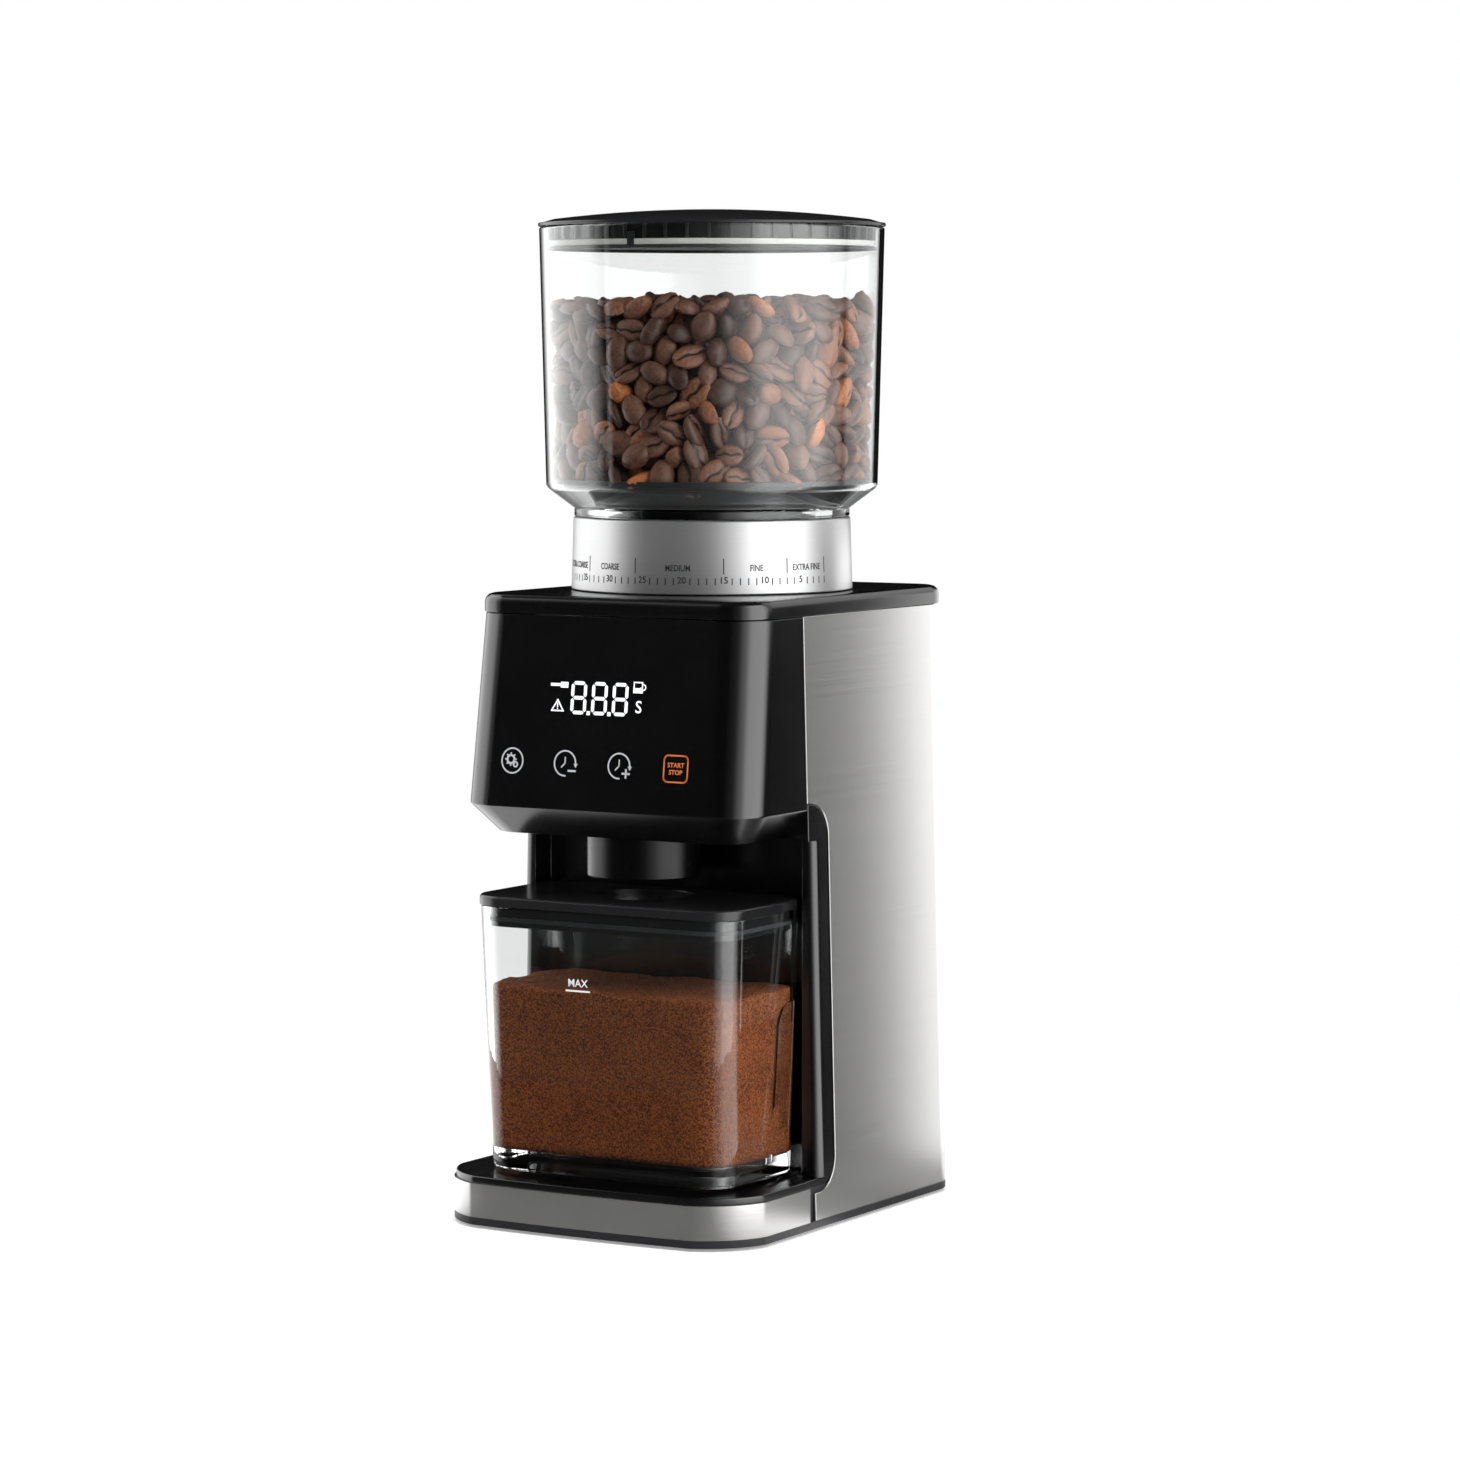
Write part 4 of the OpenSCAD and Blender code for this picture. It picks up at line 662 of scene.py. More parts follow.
hide_card(standing_card("panel_right", 4, 134, 1.5, 0.0, 1.9),
          card_glow("right glow", [(4, 0), (32, 0.12), (52, 1.1), (68, 3.0), (106, 3.2), (121, 1.4), (134, 0)]))
hide_card(standing_card("panel_left", -134, -44, 1.5, 0.0, 1.9),
          card_glow("left glow", [(-134, 0), (-106, 2.1), (-62, 2.1), (-44, 0)]))
for name, first, last, radius, low, high, level in (("front", -43, 44, 2.4, -0.2, 3.0, 0.015),
                                                    ("back", -179, -112, 2.4, 0.12, 3.0, 0.008),
                                                    ("side", 116, 141, 0.55, 0.0, 0.235, 0.03)):
    hide_card(standing_card(name + "_card", first, last, radius, low, high), plain_cloth(name + " cloth", level))

# %% A near card for the right side, and the floor as the mirrors see it
ACROSS = Vector((0.864, -0.504, 0))
AWAY = Vector((0.504, 0.864, 0))
FLOOR_CARD_HEIGHT = 0.0006
NEAR_REACH = 0.18


def side_sheet():
    """A flat upright card behind the right side. Its light grows from the front edge to the rear one."""
    clean_hands()
    bpy.ops.mesh.primitive_plane_add(size=1, location=(0, 0, 0))
    sheet = object_mode(named("side_sheet"))
    for v, (s, z) in zip(sheet.data.vertices, ((-0.1, 0), (0.11, 0), (-0.1, 0.262), (0.11, 0.262))):
        v.co = ACROSS * s + AWAY * 0.215 + Vector((0, 0, z))
    return sheet


def flat_sheet(name, radius, height, hole=None):
    """A level disc in metres, or a ring when the radius of a hole is given."""
    clean_hands()
    bpy.ops.mesh.primitive_circle_add(vertices=64, radius=radius, fill_type="NGON", location=(0, 0, height))
    sheet = named(name)
    if hole:
        bpy.ops.mesh.inset(thickness=radius - hole)
        bpy.ops.mesh.delete(type="FACE")
    return object_mode(sheet)


hide_card(side_sheet(), card_glow("side glow", [(-0.1, 2.0), (0.010, 2.2), (0.028, 1.1), (0.044, 0.15),
                                                (0.062, 0.05), (0.071, 0.02), (0.11, 0.02)], along=ACROSS))
hide_card(flat_sheet("floor_near", NEAR_REACH, FLOOR_CARD_HEIGHT),
          card_glow("near floor glow", [
              (-180, 0.3), (-134, 0.3), (-100, 0.5), (-70, 1.9), (-54, 1.7), (-30, 0.1), (12, 0.1), (21, 0.06),
              (36, 0.14), (54, 0.9), (68, 1.5), (76, 1.4), (94, 0.3), (122, 0.2), (140, 0.4), (150, 1.4), (180, 1)]))
hide_card(flat_sheet("floor_far", 2.4, FLOOR_CARD_HEIGHT, hole=NEAR_REACH),
          card_glow("far floor glow", [
              (-180, 0.3), (-134, 0.3), (-106, 2.4), (-62, 2.4), (-42, 0.05), (10, 0.05), (32, 0.12), (50, 1.1),
              (66, 3.0), (98, 3.2), (112, 0.1), (136, 0.1), (147, 1.4), (180, 1)]))
hide_card(flat_sheet("ceiling", 2.4, 3.0), plain_cloth("ceiling cloth", 0.04))

# %% [markdown]
# ## Lamps, air and floor
# The cards light nothing but mirrors, so three soft lamps light the matt surfaces: one overhead for the soft
# shadow, one each side to fill. White air does the rest. The floor could be a shadow catcher laid over white,
# but a real floor that fades into the white keeps the soft shadow and the mirrored feet together.

# %% Lamps for the matt surfaces
def soft_lamp(name, place, aim, size, watts):
    clean_hands()
    bpy.ops.object.light_add(type="AREA", location=place)
    lamp = bpy.context.object
    lamp.name = name
    lamp.data.size = size
    lamp.data.energy = watts
    lamp.rotation_euler = (Vector(aim) - Vector(place)).to_track_quat("-Z", "Y").to_euler()
    lamp.visible_camera = lamp.visible_glossy = lamp.visible_transmission = False


soft_lamp("top lamp", (0.1, -0.1, 2.0), (0, 0, 0.1), 1.6, 26)
soft_lamp("right lamp", (1.5, -0.5, 0.9), (0, 0, 0.2), 1.0, 14)
soft_lamp("left lamp", (-1.4, -0.7, 0.8), (0, 0, 0.2), 1.0, 10)

# %% The air and the floor, white to the camera and to what mirrors it
def seen_white(t):
    """1 for a ray from the camera or a mirror, and for one that comes straight through clear walls."""
    ray = node(t, "ShaderNodeLightPath").outputs
    direct = maths(t, "ADD", ray["Is Camera Ray"], ray["Is Glossy Ray"])
    walls = maths(t, "MULTIPLY", ray["Is Transmission Ray"], straight_look(t))
    return maths(t, "ADD", direct, walls, use_clamp=True)


def white_air(ambient):
    world = bpy.data.worlds.new("studio air")
    world.use_nodes = True
    bpy.context.scene.world = world
    t = world.node_tree
    back = t.nodes["Background"].inputs
    plug(t, back["Color"], (1, 1, 1, 1))
    plug(t, back["Strength"], remap(t, seen_white(t), 0.0, 1.0, ambient, 1.0))


def pale_floor(near, far):
    """A white floor that keeps the shadow near the grinder and fades to plain white further out."""
    floor = flat_sheet("floor", 6, 0)
    mat = new_finish("pale floor", "stage", (0.9, 0.9, 0.9), roughness=0.6, Specular_IOR_Level=0.0,
                     Emission_Color=(1, 1, 1, 1))
    t = mat.node_tree
    white = seen_white(t)
    plug(t, shader_of(mat).inputs["Emission Strength"], maths(t, "MULTIPLY", white, 0.3))
    reach = node(t, "ShaderNodeVectorMath", {0: object_place(mat)}, operation="LENGTH").outputs["Value"]
    fade = remap(t, reach, near, far, interpolation_type="SMOOTHSTEP")
    plain = node(t, "ShaderNodeEmission")
    mixed = node(t, "ShaderNodeMixShader", {0: maths(t, "MULTIPLY", white, fade), 1: shader_of(mat).outputs[0],
                                            2: plain.outputs[0]})
    plug(t, t.nodes["Material Output"].inputs["Surface"], mixed.outputs[0])
    floor.data.materials.append(mat)


white_air(0.42)
pale_floor(0.2, 0.75)
print("floor and air ready")


# %% [markdown]
# ## Deck and head
# The deck is a moulded tray with rounded corners and a bevel round its top, hollow below, with a round hub for
# the collar. It starts as a cube. The head under it is a thin shell that leans forward and is drawn in under
# its foot. Its walls follow the draft of the body, so half_width says how wide the body is at a height. Both
# could be lofted from outlines, but a cube that is bevelled and pushed keeps every size a plain number.

# %% The draft of the body
DECK_SEAM = 238.7
SCREW_X, FRONT_SCREW_Y, REAR_SCREW_Y = 49.4, -49.3, 66.0    # the deck's four screws
CHUTE_SPOT = (0, -41.5)         # where the chute and the jar lid's hole stand in plan
LEAN, LEAN_HEIGHT = 8.7, 73.5   # how far the touch panel comes forward, over how much height
PANEL_FRONT = 65.8              # how far the panel's top edge stands in front of the middle


def half_width(z):
    """Half the body's width at a height in mm. Its sides open downwards by 1.48 degrees."""
    return 63.3 + math.tan(math.radians(1.48)) * (DECK_SEAM - z)


def widen(z, ratio):
    """In edit mode, widens or narrows the vertices at one height."""
    scale_picked(lambda co, v: abs(co.z - z) < 0.05, ratio, 1, (0, 0, z))


def round_upright(test, radius, segments=12):
    """In edit mode, rounds the upright edges that pass a test of their middle."""
    bevel_picked(lambda middle, e: upright(e) and test(middle), radius, segments)


print("half width at the deck", round(half_width(235), 2), "and at the base", round(half_width(17.2), 2))

# %% Deck
def make_deck():
    w = half_width(DECK_SEAM)
    deck = block("deck", (-w, -66.3, 235), (w, 90.4, 242.2))
    round_upright(lambda p: True, 15, 16)
    inset_picked(faces_down, 5)
    push_in_or_out(4.2)
    bevel_picked(lambda p, e: p.z > 242.1 and not upright(e), 3.4, 3)
    object_mode(deck)
    for x in (-SCREW_X, SCREW_X):
        for y in (FRONT_SCREW_Y, REAR_SCREW_Y):
            cut(deck, peg("post", (x, y, 230.6), 4, 19.2, vertices=32), "UNION")
            cut(deck, peg("pilot", (x, y, 224), 1.5, 14, vertices=16))
    cut(deck, peg("hub", (*HUB, 238.1), 51, 6.2, vertices=160), "UNION")
    cut(deck, peg("bearing", (*HUB, 238), 46.05, 20, vertices=160))
    soften(deck, 0.35, 2)
    return finish_mesh(deck)


wear(make_deck(), "housing", gloss_black, "deck_plate")

# %% Head
def make_head():
    top, knee, foot = 234.7, 161.5, 150.5
    w, back = half_width(235), -28.7
    head = block("head_shell", (-w, -PANEL_FRONT, knee), (w, back, top))
    widen(knee, half_width(knee) / w)
    move_picked(lambda co, v: abs(co.z - knee) < 0.05 and co.y < -60, y=-LEAN)
    round_upright(lambda p: p.y < -60, 16, 16)
    pick("FACE", faces_down)
    push_in_or_out(foot - knee)
    reach, drawn_in = half_width(knee), 9
    bpy.ops.transform.resize(value=((reach - drawn_in) / reach, (45.8 - drawn_in) / 45.8, 1),
                             center_override=(0, back * mm, foot * mm))
    pick("FACE", lambda p, f: f.normal.z > 0.9 or f.normal.y > 0.9)
    bpy.ops.mesh.delete(type="FACE")
    bpy.ops.mesh.select_all(action="SELECT")
    bpy.ops.mesh.normals_make_consistent(inside=False)
    object_mode(head)
    wall = 2.5
    modify(head, "SOLIDIFY", thickness=wall * mm, offset=-1, use_even_offset=True)
    cut(head, object_mode(block("tongue", (-55.1, -28.8, foot), (55.1, -13.5, foot + wall))), "UNION")
    for x in (-SCREW_X, SCREW_X):
        cut(head, peg("post", (x, FRONT_SCREW_Y, 187), 5, 70, vertices=32), "UNION")
        cut(head, peg("screw_way", (x, FRONT_SCREW_Y, 183), 3.4, 68, vertices=32))
        cut(head, peg("screw_hole", (x, FRONT_SCREW_Y, 215), 1.6, 20, vertices=16))
    cut(head, peg("chute_way", (*CHUTE_SPOT, 152), 21.85, 20, vertices=128))
    soften(head, 0.4, 2)
    return finish_mesh(head)


wear(make_head(), "housing", gloss_black, "head_cover")

# %% [markdown]
# ## Steel sides and the dock
# Each side is one sheet that runs back, turns a wide corner and ends at the rear cover. It is modelled as a
# bent sheet, given its thickness by a Solidify modifier, and cut out round the dock frame. A solid block with a
# steel look would do from outside, but the sheet's thin edge shows all along the frame.

# %% Steel side panels
def make_side(side):
    low, high, front, back = 4.2, 234.8, -28.7, 86.5
    w = half_width(high)
    left, right = sorted((side * 46, side * w))
    sheet = block("steel_side_" + ("right" if side > 0 else "left"), (left, front, low), (right, back, high))
    scale_picked(lambda co, v: co.z < 10 and abs(co.x) > 50, half_width(low) / w, 1, (0, 0, low))
    round_upright(lambda p: p.y > 80 and abs(p.x) > 50, 15, 18)
    pick("FACE", lambda p, f: abs(f.normal.z) > 0.9 or f.normal.y < -0.9 or f.normal.x * side < -0.9)
    bpy.ops.mesh.delete(type="FACE")
    object_mode(sheet)
    modify(sheet, "SOLIDIFY", thickness=0.8 * mm, offset=-1, use_even_offset=True)
    inner, outer = sorted((side * 40, side * 80))
    frame_hole = block("frame_hole", (inner, -90, 14.7), (outer, -13, 163.8))
    bevel_picked(lambda p, e: p.y > -14 and abs(e.verts[0].co.x - e.verts[1].co.x) > 0.03, 13.3, 14)
    cut(sheet, object_mode(frame_hole))
    soften(sheet, 0.15, 1)
    return finish_mesh(sheet)


for side, node_name in ((1, "side_panel_right"), (-1, "side_panel_left")):
    wear(make_side(side), "housing", brushed_steel, node_name)

# %% [markdown]
# ## Dock, base and rear cover
# These mouldings and the steel band have the right shape in the model already. Modelling them again would only
# risk new faults, so their meshes are copied, rid of the doubled corners and the lines across flat faces, and
# given softened edges that catch the light. The band keeps its folded edges sharp, as thin sheet does.

# %% Dock, base and rear cover
for node_name, softness, segments, finish in (("column_housing", 0.5, 3, gloss_black),
                                              ("base_cover", 0.5, 3, gloss_black),
                                              ("base_tray", 0.2, 1, satin_black),
                                              ("base_band", 0.0, 2, brushed_steel),
                                              ("rear_cover", 0.25, 2, satin_black)):
    wear(finish_mesh(refined(node_name, softness, segments)), "housing", finish, node_name)

# %% [markdown]
# ## Chute
# The chute is turned like a pot on a wheel: a circle is extruded and resized ring by ring along its outline.
# Its plastic has a finer grain and less gloss than the panel, which keeps the white floor out of it.

# %% Chute
def make_chute():
    outline = round_corners([(12, 134, 0.8), (14.4, 134, 0.8), (14.4, 149.5), (19.3, 149.5, 1), (19.3, 134, 0.8),
                             (21.8, 134, 1.0), (21.8, 154), (14.4, 154), (14.4, 190.3), (12, 190.3)])
    return finish_mesh(turned("chute_shroud", outline, CHUTE_SPOT, 128))


chute_black = moulded("chute black", "gloss_black", (0.002, 0.002, 0.0022), 0.26, grain=600, depth=2e-6,
                      spread=0.04, Specular_IOR_Level=0.3)
wear(make_chute(), "housing", chute_black, "chute")

# %% [markdown]
# ## Hopper, funnel and lid
# The hopper is a clear wall with real thickness, so that light bends through it as through the real plastic. It
# is turned ring by ring, like the black funnel inside it and the lid. The lid's plug carries 48 small ribs:
# one is modelled and copied round, each copy with its own mesh. Ribs drawn by a bump would be quicker, but their
# ends show against the light seat of the gasket.

# %% Hopper wall and funnel
hopper_wall = turned("hopper_wall", round_corners([
    (43.2, 240.2), (43.2, 271), (53.8, 271, 0.3), (53.8, 274, 0.6), (64.75, 282.2, 3), (67.3, 383, 0.8),
    (65.1, 383, 0.8), (62.55, 283.0, 2), (52.6, 275.8, 0.4), (40.8, 275.8, 0.4), (40.8, 240.2)]), segments=192)
wear(finish_mesh(hopper_wall), "hopper", clear, "hopper")

funnel = turned("funnel_bowl", round_corners([
    (20, 240.7), (22, 240.7), (22, 266.0, 1), (40.5, 275.0, 0.3), (40.5, 276.0), (52.3, 276.0, 0.5),
    (62.25, 283.6, 0.6), (62.25, 285.6, 0.4), (60.25, 285.6, 0.4), (51.3, 278.0, 2), (37.2, 277.0, 2),
    (20, 267.0, 2)]))
wear(finish_mesh(funnel), "hopper", satin_black, "hopper_funnel")

# %% Lid with its dome, plug and ribs
DOME_RADIUS = 500.5
RIB_COUNT = 48


def dome_height(r, top):
    """Height of the lid's dome, whose crown is at top, at a distance from its axis."""
    return top - DOME_RADIUS + math.sqrt(DOME_RADIUS ** 2 - r * r)


def make_lid():
    dome = [(r, dome_height(r, 389.9)) for r in (0.4, 8, 16, 24, 32, 40, 48, 56, 62)]
    inner = [(r, dome_height(r, 387.7)) for r in (60.6, 50, 40, 30, 20, 10, 0.4)]
    rim = round_corners([(67.7, 385.25, 1.2), (67.7, 383.3, 0.4), (62.6, 383.3), (62.6, 377.6, 0.3),
                         (60.6, 377.6, 0.3)])
    lid = turned("lid_dome", dome + rim + inner, segments=192, closed=False)
    edit_all(lid)
    for low, high in ((389, 391), (386, 388.5)):
        pick("VERT", lambda co, v: math.hypot(co.x, co.y - HUB[1]) < 0.6 and low < co.z < high)
        bpy.ops.mesh.merge(type="CENTER")
    return finish_mesh(object_mode(lid))


def ring_of(piece, count, name):
    """Copies a piece evenly round the hopper axis, each copy with its own mesh, and joins them."""
    there, back = Matrix.Translation((0, HUB[1] * mm, 0)), Matrix.Translation((0, -HUB[1] * mm, 0))
    copies = [own_copy(piece) for _ in range(1, count)]
    for i, copy in enumerate(copies, 1):
        copy.data.transform(there @ Matrix.Rotation(2 * math.pi * i / count, 4, "Z") @ back)
    return joined([piece, *copies], name)


lid_gloss = moulded("lid black", "gloss_black", (0.012, 0.012, 0.013), 0.22, grain=1600, depth=3e-6, spread=0.05)
wear(make_lid(), "hopper_lid", lid_gloss, "hopper_lid")
rib = object_mode(block("rib", (62.3, 8.9, 377.9), (63.8, 10.1, 383.6)))
soften(rib, 0.25)
wear(finish_mesh(ring_of(rib, RIB_COUNT, "lid_ribs")), "hopper_lid", satin_black)
tab = object_mode(block("tab", (1.0, -53.9, 374.6), (4.0, -52.9, 380.2)))
soften(tab, 0.2)
wear(finish_mesh(tab), "hopper_lid", satin_black)
gasket = turned("gasket_ring", round_corners([(60.6, 374.1, 0.3), (64.6, 374.1, 0.2), (64.6, 374.9, 0.2),
                                              (63.4, 374.9), (63.4, 375.3), (60.6, 375.3)]))
wear(finish_mesh(gasket), "hopper_lid", silicone, "lid_gasket")
gasket_seat = turned("gasket_seat", round_corners([(60.6, 375.3), (63.2, 375.3, 0.3), (63.2, 377.6, 0.3),
                                                   (60.6, 377.6)]))
wear(finish_mesh(gasket_seat), "hopper_lid", white_nylon)

# %% [markdown]
# ## Setting collar and its dial
# The collar is brushed round and round on a lathe. Its dial is printed: numbers, ticks and the words of five
# grind zones. The print is laid out flat as text and thin bars, then wrapped round the collar, so that each
# letter follows the curve. An image of the dial would need its own unwrapping and blurs close up.

# %% Collar
def make_collar():
    collar = turned("collar_ring", round_corners([
        (55.0, 242.5, 0.5), (54.15, 270.7, 0.9), (43.5, 270.7, 0.6), (43.5, 230.0), (46.0, 230.0),
        (46.0, 267.7), (51.15, 267.7), (51.15, 242.5, 0.4)]), segments=192)
    for turn in (0, 120, 240):
        slot_way = block("slot", (41.5, -3.3, 229), (49.5, 3.3, 237.5))
        bpy.ops.transform.rotate(value=math.radians(turn), orient_axis="Z", center_override=(0, 0, 0))
        bpy.ops.transform.translate(value=(0, HUB[1] * mm, 0))
        cut(collar, object_mode(slot_way))
    return finish_mesh(collar)


wear(make_collar(), "collar", collar_metal, "setting_collar")

# %% Flat print helpers
CAPITAL_SHARE = 0.7  # how much of its stated size a capital letter fills


def text_shape(words, size, x, z, narrow=1.0):
    """Letters as a flat mesh in the XY plane, their capitals size mm high, centred on (x, z) in mm."""
    clean_hands()
    bpy.ops.object.text_add(location=(0, 0, 0))
    letters = bpy.context.object
    letters.data.body = words
    letters.data.size = size * mm / CAPITAL_SHARE
    letters.data.align_x, letters.data.align_y = "CENTER", "CENTER"
    letters.data.resolution_u = 3
    letters.data.offset = 0.05 * mm
    bpy.ops.object.convert(target="MESH")
    shape = bpy.context.object
    shape.data.transform(Matrix.Translation((x * mm, z * mm, 0)) @ Matrix.Diagonal((narrow, 1, 1, 1)))
    return shape


def bar_shape(x, z, w, h):
    """A flat rectangle centred on (x, z) in mm."""
    clean_hands()
    bpy.ops.mesh.primitive_plane_add(size=1, location=(x * mm, z * mm, 0), scale=(1, 1, 1))
    bar = bpy.context.object
    bar.data.transform(Matrix.Diagonal((w * mm, h * mm, 1, 1)))
    bpy.ops.object.transform_apply(location=True, rotation=True, scale=True)
    return bar


def thicken(piece, depth=0.04):
    """Gives flat print a skin of its own, outwards from the surface it lies on."""
    modify(piece, "SOLIDIFY", thickness=depth * mm, offset=1)
    return piece


print("print helpers ready")

# %% Dial print, laid flat and wrapped round the collar
DIAL_STEP = 3.37                        # degrees from one setting to the next
DIAL_ZERO = 30.8 + 16.45 * DIAL_STEP    # bearing of setting 0, with 16.45 turned towards the camera
DIAL_RADIUS = 54.6                      # where the print is laid out flat


def dial_x(unit):
    """Length along the collar's surface, in mm, of one of the 41 settings."""
    return math.radians(DIAL_ZERO - unit * DIAL_STEP) * DIAL_RADIUS


def collar_radius(z):
    """Outer radius of the collar, which narrows by 0.85 mm over its 28.2 mm of height."""
    return 55.0 - (z - 242.5) / 28.2 * 0.85


shapes = [text_shape(str(n), 2.5, dial_x(n), 248) for n in range(5, 40, 5)]
shapes += [bar_shape(dial_x(n), 247.6, 0.42, 2.6) for n in range(41) if n % 5]
shapes += [bar_shape(dial_x(n), 253.4, 0.42, 6.0) for n in (1, 7, 15, 26, 34)]
zones = (("EXTRA COARSE", 37.5), ("COARSE", 30), ("MEDIUM", 20.5), ("FINE", 11), ("EXTRA FINE", 4))
shapes += [text_shape(words, 2.4, dial_x(n), 252.6, 0.78) for words, n in zones]
dial = joined(shapes, "dial_print")
for v in dial.data.vertices:
    angle, z = v.co.x / (DIAL_RADIUS * mm), v.co.y / mm
    r = collar_radius(z) + 0.015
    v.co = Vector((math.sin(angle) * r, HUB[1] - math.cos(angle) * r, z)) * mm
ink = moulded("dark ink", "satin_black", (0.02, 0.02, 0.022), 0.6, grain=3000, depth=0)
wear(thicken(dial), "collar", ink)

# %% [markdown]
# ## Coffee beans
# A roasted bean is a flat-sided oval with a crease along its flat side. One bean of a few dozen faces is
# modelled, then copied about a thousand times. The copies start in loose shells along the wall and over the
# top of the heap, push each other apart, and lie at random angles. Only these outer layers are made, because
# nothing shows behind them. Dropping the beans in a simulation would pile them as well, but it takes long and
# fills the middle too. Each bean keeps its own place and tone as attributes for its finish.

# %% One bean
def one_bean():
    """An oval that lies along Y, flattened below, with a narrow crease pushed in along its flat side."""
    clean_hands()
    bpy.ops.mesh.primitive_uv_sphere_add(segments=12, ring_count=7, radius=1, rotation=(math.pi / 2, 0, 0))
    bean = named("bean")
    bpy.ops.transform.resize(value=(4.9, 6.9, 4.0), center_override=(0, 0, 0))
    pick("VERT", lambda co, v: v.co.z < -0.1)
    bpy.ops.transform.resize(value=(1, 1, 0.5), center_override=(0, 0, 0))
    pick("VERT", lambda co, v: v.co.z < -0.5 and 0.3 < abs(v.co.x) < 2.6)
    bpy.ops.transform.resize(value=(0.5, 1, 1), center_override=(0, 0, 0))
    pick("VERT", lambda co, v: v.co.z < -0.5 and abs(v.co.x) < 0.2)
    bpy.ops.transform.translate(value=(0, 0, 1.2))
    return object_mode(bean)


bean = one_bean()
print("one bean:", len(bean.data.vertices), "vertices,", len(bean.data.polygons), "faces")

# %% Places of the beans
TOUCH = 4.9     # how far a bean's middle stays from the wall
APART = 9.2     # how far the middles of two beans like to be from each other


def wall_reach(z):
    """Inner radius of the hopper wall at a height in mm."""
    return 62.55 + (z - 283) * 0.0255


def bean_places(rng):
    """Seeded places in mm round the hopper axis: three shells along the wall, then two layers on top."""
    spots = []
    for inset, pitch in ((TOUCH, 9.6), (13, 10.2), (21, 10.6)):
        for row in range(9):
            z = 287.6 + row * 7.9
            r = wall_reach(z) - inset
            count = int(2 * math.pi * r / pitch)
            spots += [(r, 2 * math.pi * (k + 0.5 * (row % 2)) / count, z) for k in range(count)]
    for z in (342, 350):
        for ring in range(6):
            r = ring * 8.8 + 2
            count = max(1, int(2 * math.pi * r / 10))
            spots += [(r, 2 * math.pi * k / count, z + 1.5) for k in range(count)]
    spots = np.array(spots)
    xyz = np.stack([spots[:, 0] * np.cos(spots[:, 1]), spots[:, 0] * np.sin(spots[:, 1]), spots[:, 2]], 1)
    xyz += rng.normal(0, 1.8, xyz.shape)
    for _ in range(26):
        xyz = push_apart(xyz, APART)
        r = np.hypot(xyz[:, 0], xyz[:, 1])
        limit = wall_reach(xyz[:, 2]) - TOUCH
        xyz[:, :2] *= np.minimum(1, limit / np.maximum(r, 1e-6))[:, None]
        xyz[:, 2] = np.clip(xyz[:, 2], 286.5 + np.maximum(0, r - 54) * 0.1, 351.5 + 1.2 * np.sin(xyz[:, 0] / 17))
    return xyz


def push_apart(xyz, gap):
    """One step of pushing pairs that are closer than the gap away from each other."""
    moved = xyz.copy()
    for start in range(0, len(xyz), 400):
        part = xyz[start:start + 400]
        apart = part[:, None, :] - xyz[None, :, :]
        far = np.linalg.norm(apart, axis=2)
        close = (far < gap) & (far > 1e-6)
        push = np.where(close, (gap - far) / np.maximum(far, 1e-6) * 0.28, 0)
        moved[start:start + 400] += (apart * push[:, :, None]).sum(1)
    return moved


rng = np.random.default_rng(11)
spots = bean_places(rng)
print("beans:", len(spots))

# %% All the beans as one piece
def bean_frames(spots, rng):
    """A turn for each bean: its back or its creased side towards the wall or the sky, give or take some tumble."""
    count = len(spots)
    radial = spots * [1, 1, 0]
    radial /= np.maximum(np.linalg.norm(radial, axis=1), 1e-6)[:, None]
    on_top = spots[:, 2] > 347
    out = np.where(on_top[:, None], [[0, 0, 1]], radial)
    face = out * np.where(rng.random(count) < 0.62, -1, 1)[:, None] + rng.normal(0, 0.6, (count, 3))
    face /= np.linalg.norm(face, axis=1)[:, None]
    along = rng.normal(0, 1, (count, 3))
    along -= face * (along * face).sum(1)[:, None]
    along /= np.linalg.norm(along, axis=1)[:, None]
    across = np.cross(along, face)
    return np.stack([across, along, face], 2)


def spread_beans(bean, spots, rng):
    """Copies the bean to every spot, each turned and sized a little differently, and kept inside the wall."""
    base = np.array([v.co for v in bean.data.vertices])
    faces = [tuple(p.vertices) for p in bean.data.polygons]
    turns = bean_frames(spots, rng)
    sizes = rng.uniform(0.82, 1.08, (len(spots), 1, 1)) * (1 + rng.normal(0, 0.05, (len(spots), 1, 3)))
    shaped = base[None] * sizes
    placed = np.einsum("nij,nkj->nki", turns, shaped) + spots[:, None, :] + [0, HUB[1], 0]
    reach = np.hypot(placed[..., 0], placed[..., 1] - HUB[1])
    held = np.minimum(1, (wall_reach(placed[..., 2]) - 0.35) / reach)
    placed[..., 0] *= held
    placed[..., 1] = HUB[1] + (placed[..., 1] - HUB[1]) * held
    mesh = bpy.data.meshes.new("beans")
    many = [tuple(i + n * len(base) for i in f) for n in range(len(spots)) for f in faces]
    mesh.from_pydata((placed.reshape(-1, 3) * mm).tolist(), [], many)
    place = mesh.attributes.new("bean_place", "FLOAT_VECTOR", "POINT")
    place.data.foreach_set("vector", np.tile(base, (len(spots), 1)).ravel())
    tone = mesh.attributes.new("bean_tone", "FLOAT", "POINT")
    tone.data.foreach_set("value", np.repeat(rng.random(len(spots)), len(base)))
    beans = bpy.data.objects.new("beans", mesh)
    bpy.context.scene.collection.objects.link(beans)
    bpy.data.objects.remove(bean)
    take(beans)
    bpy.ops.object.shade_smooth()
    return beans


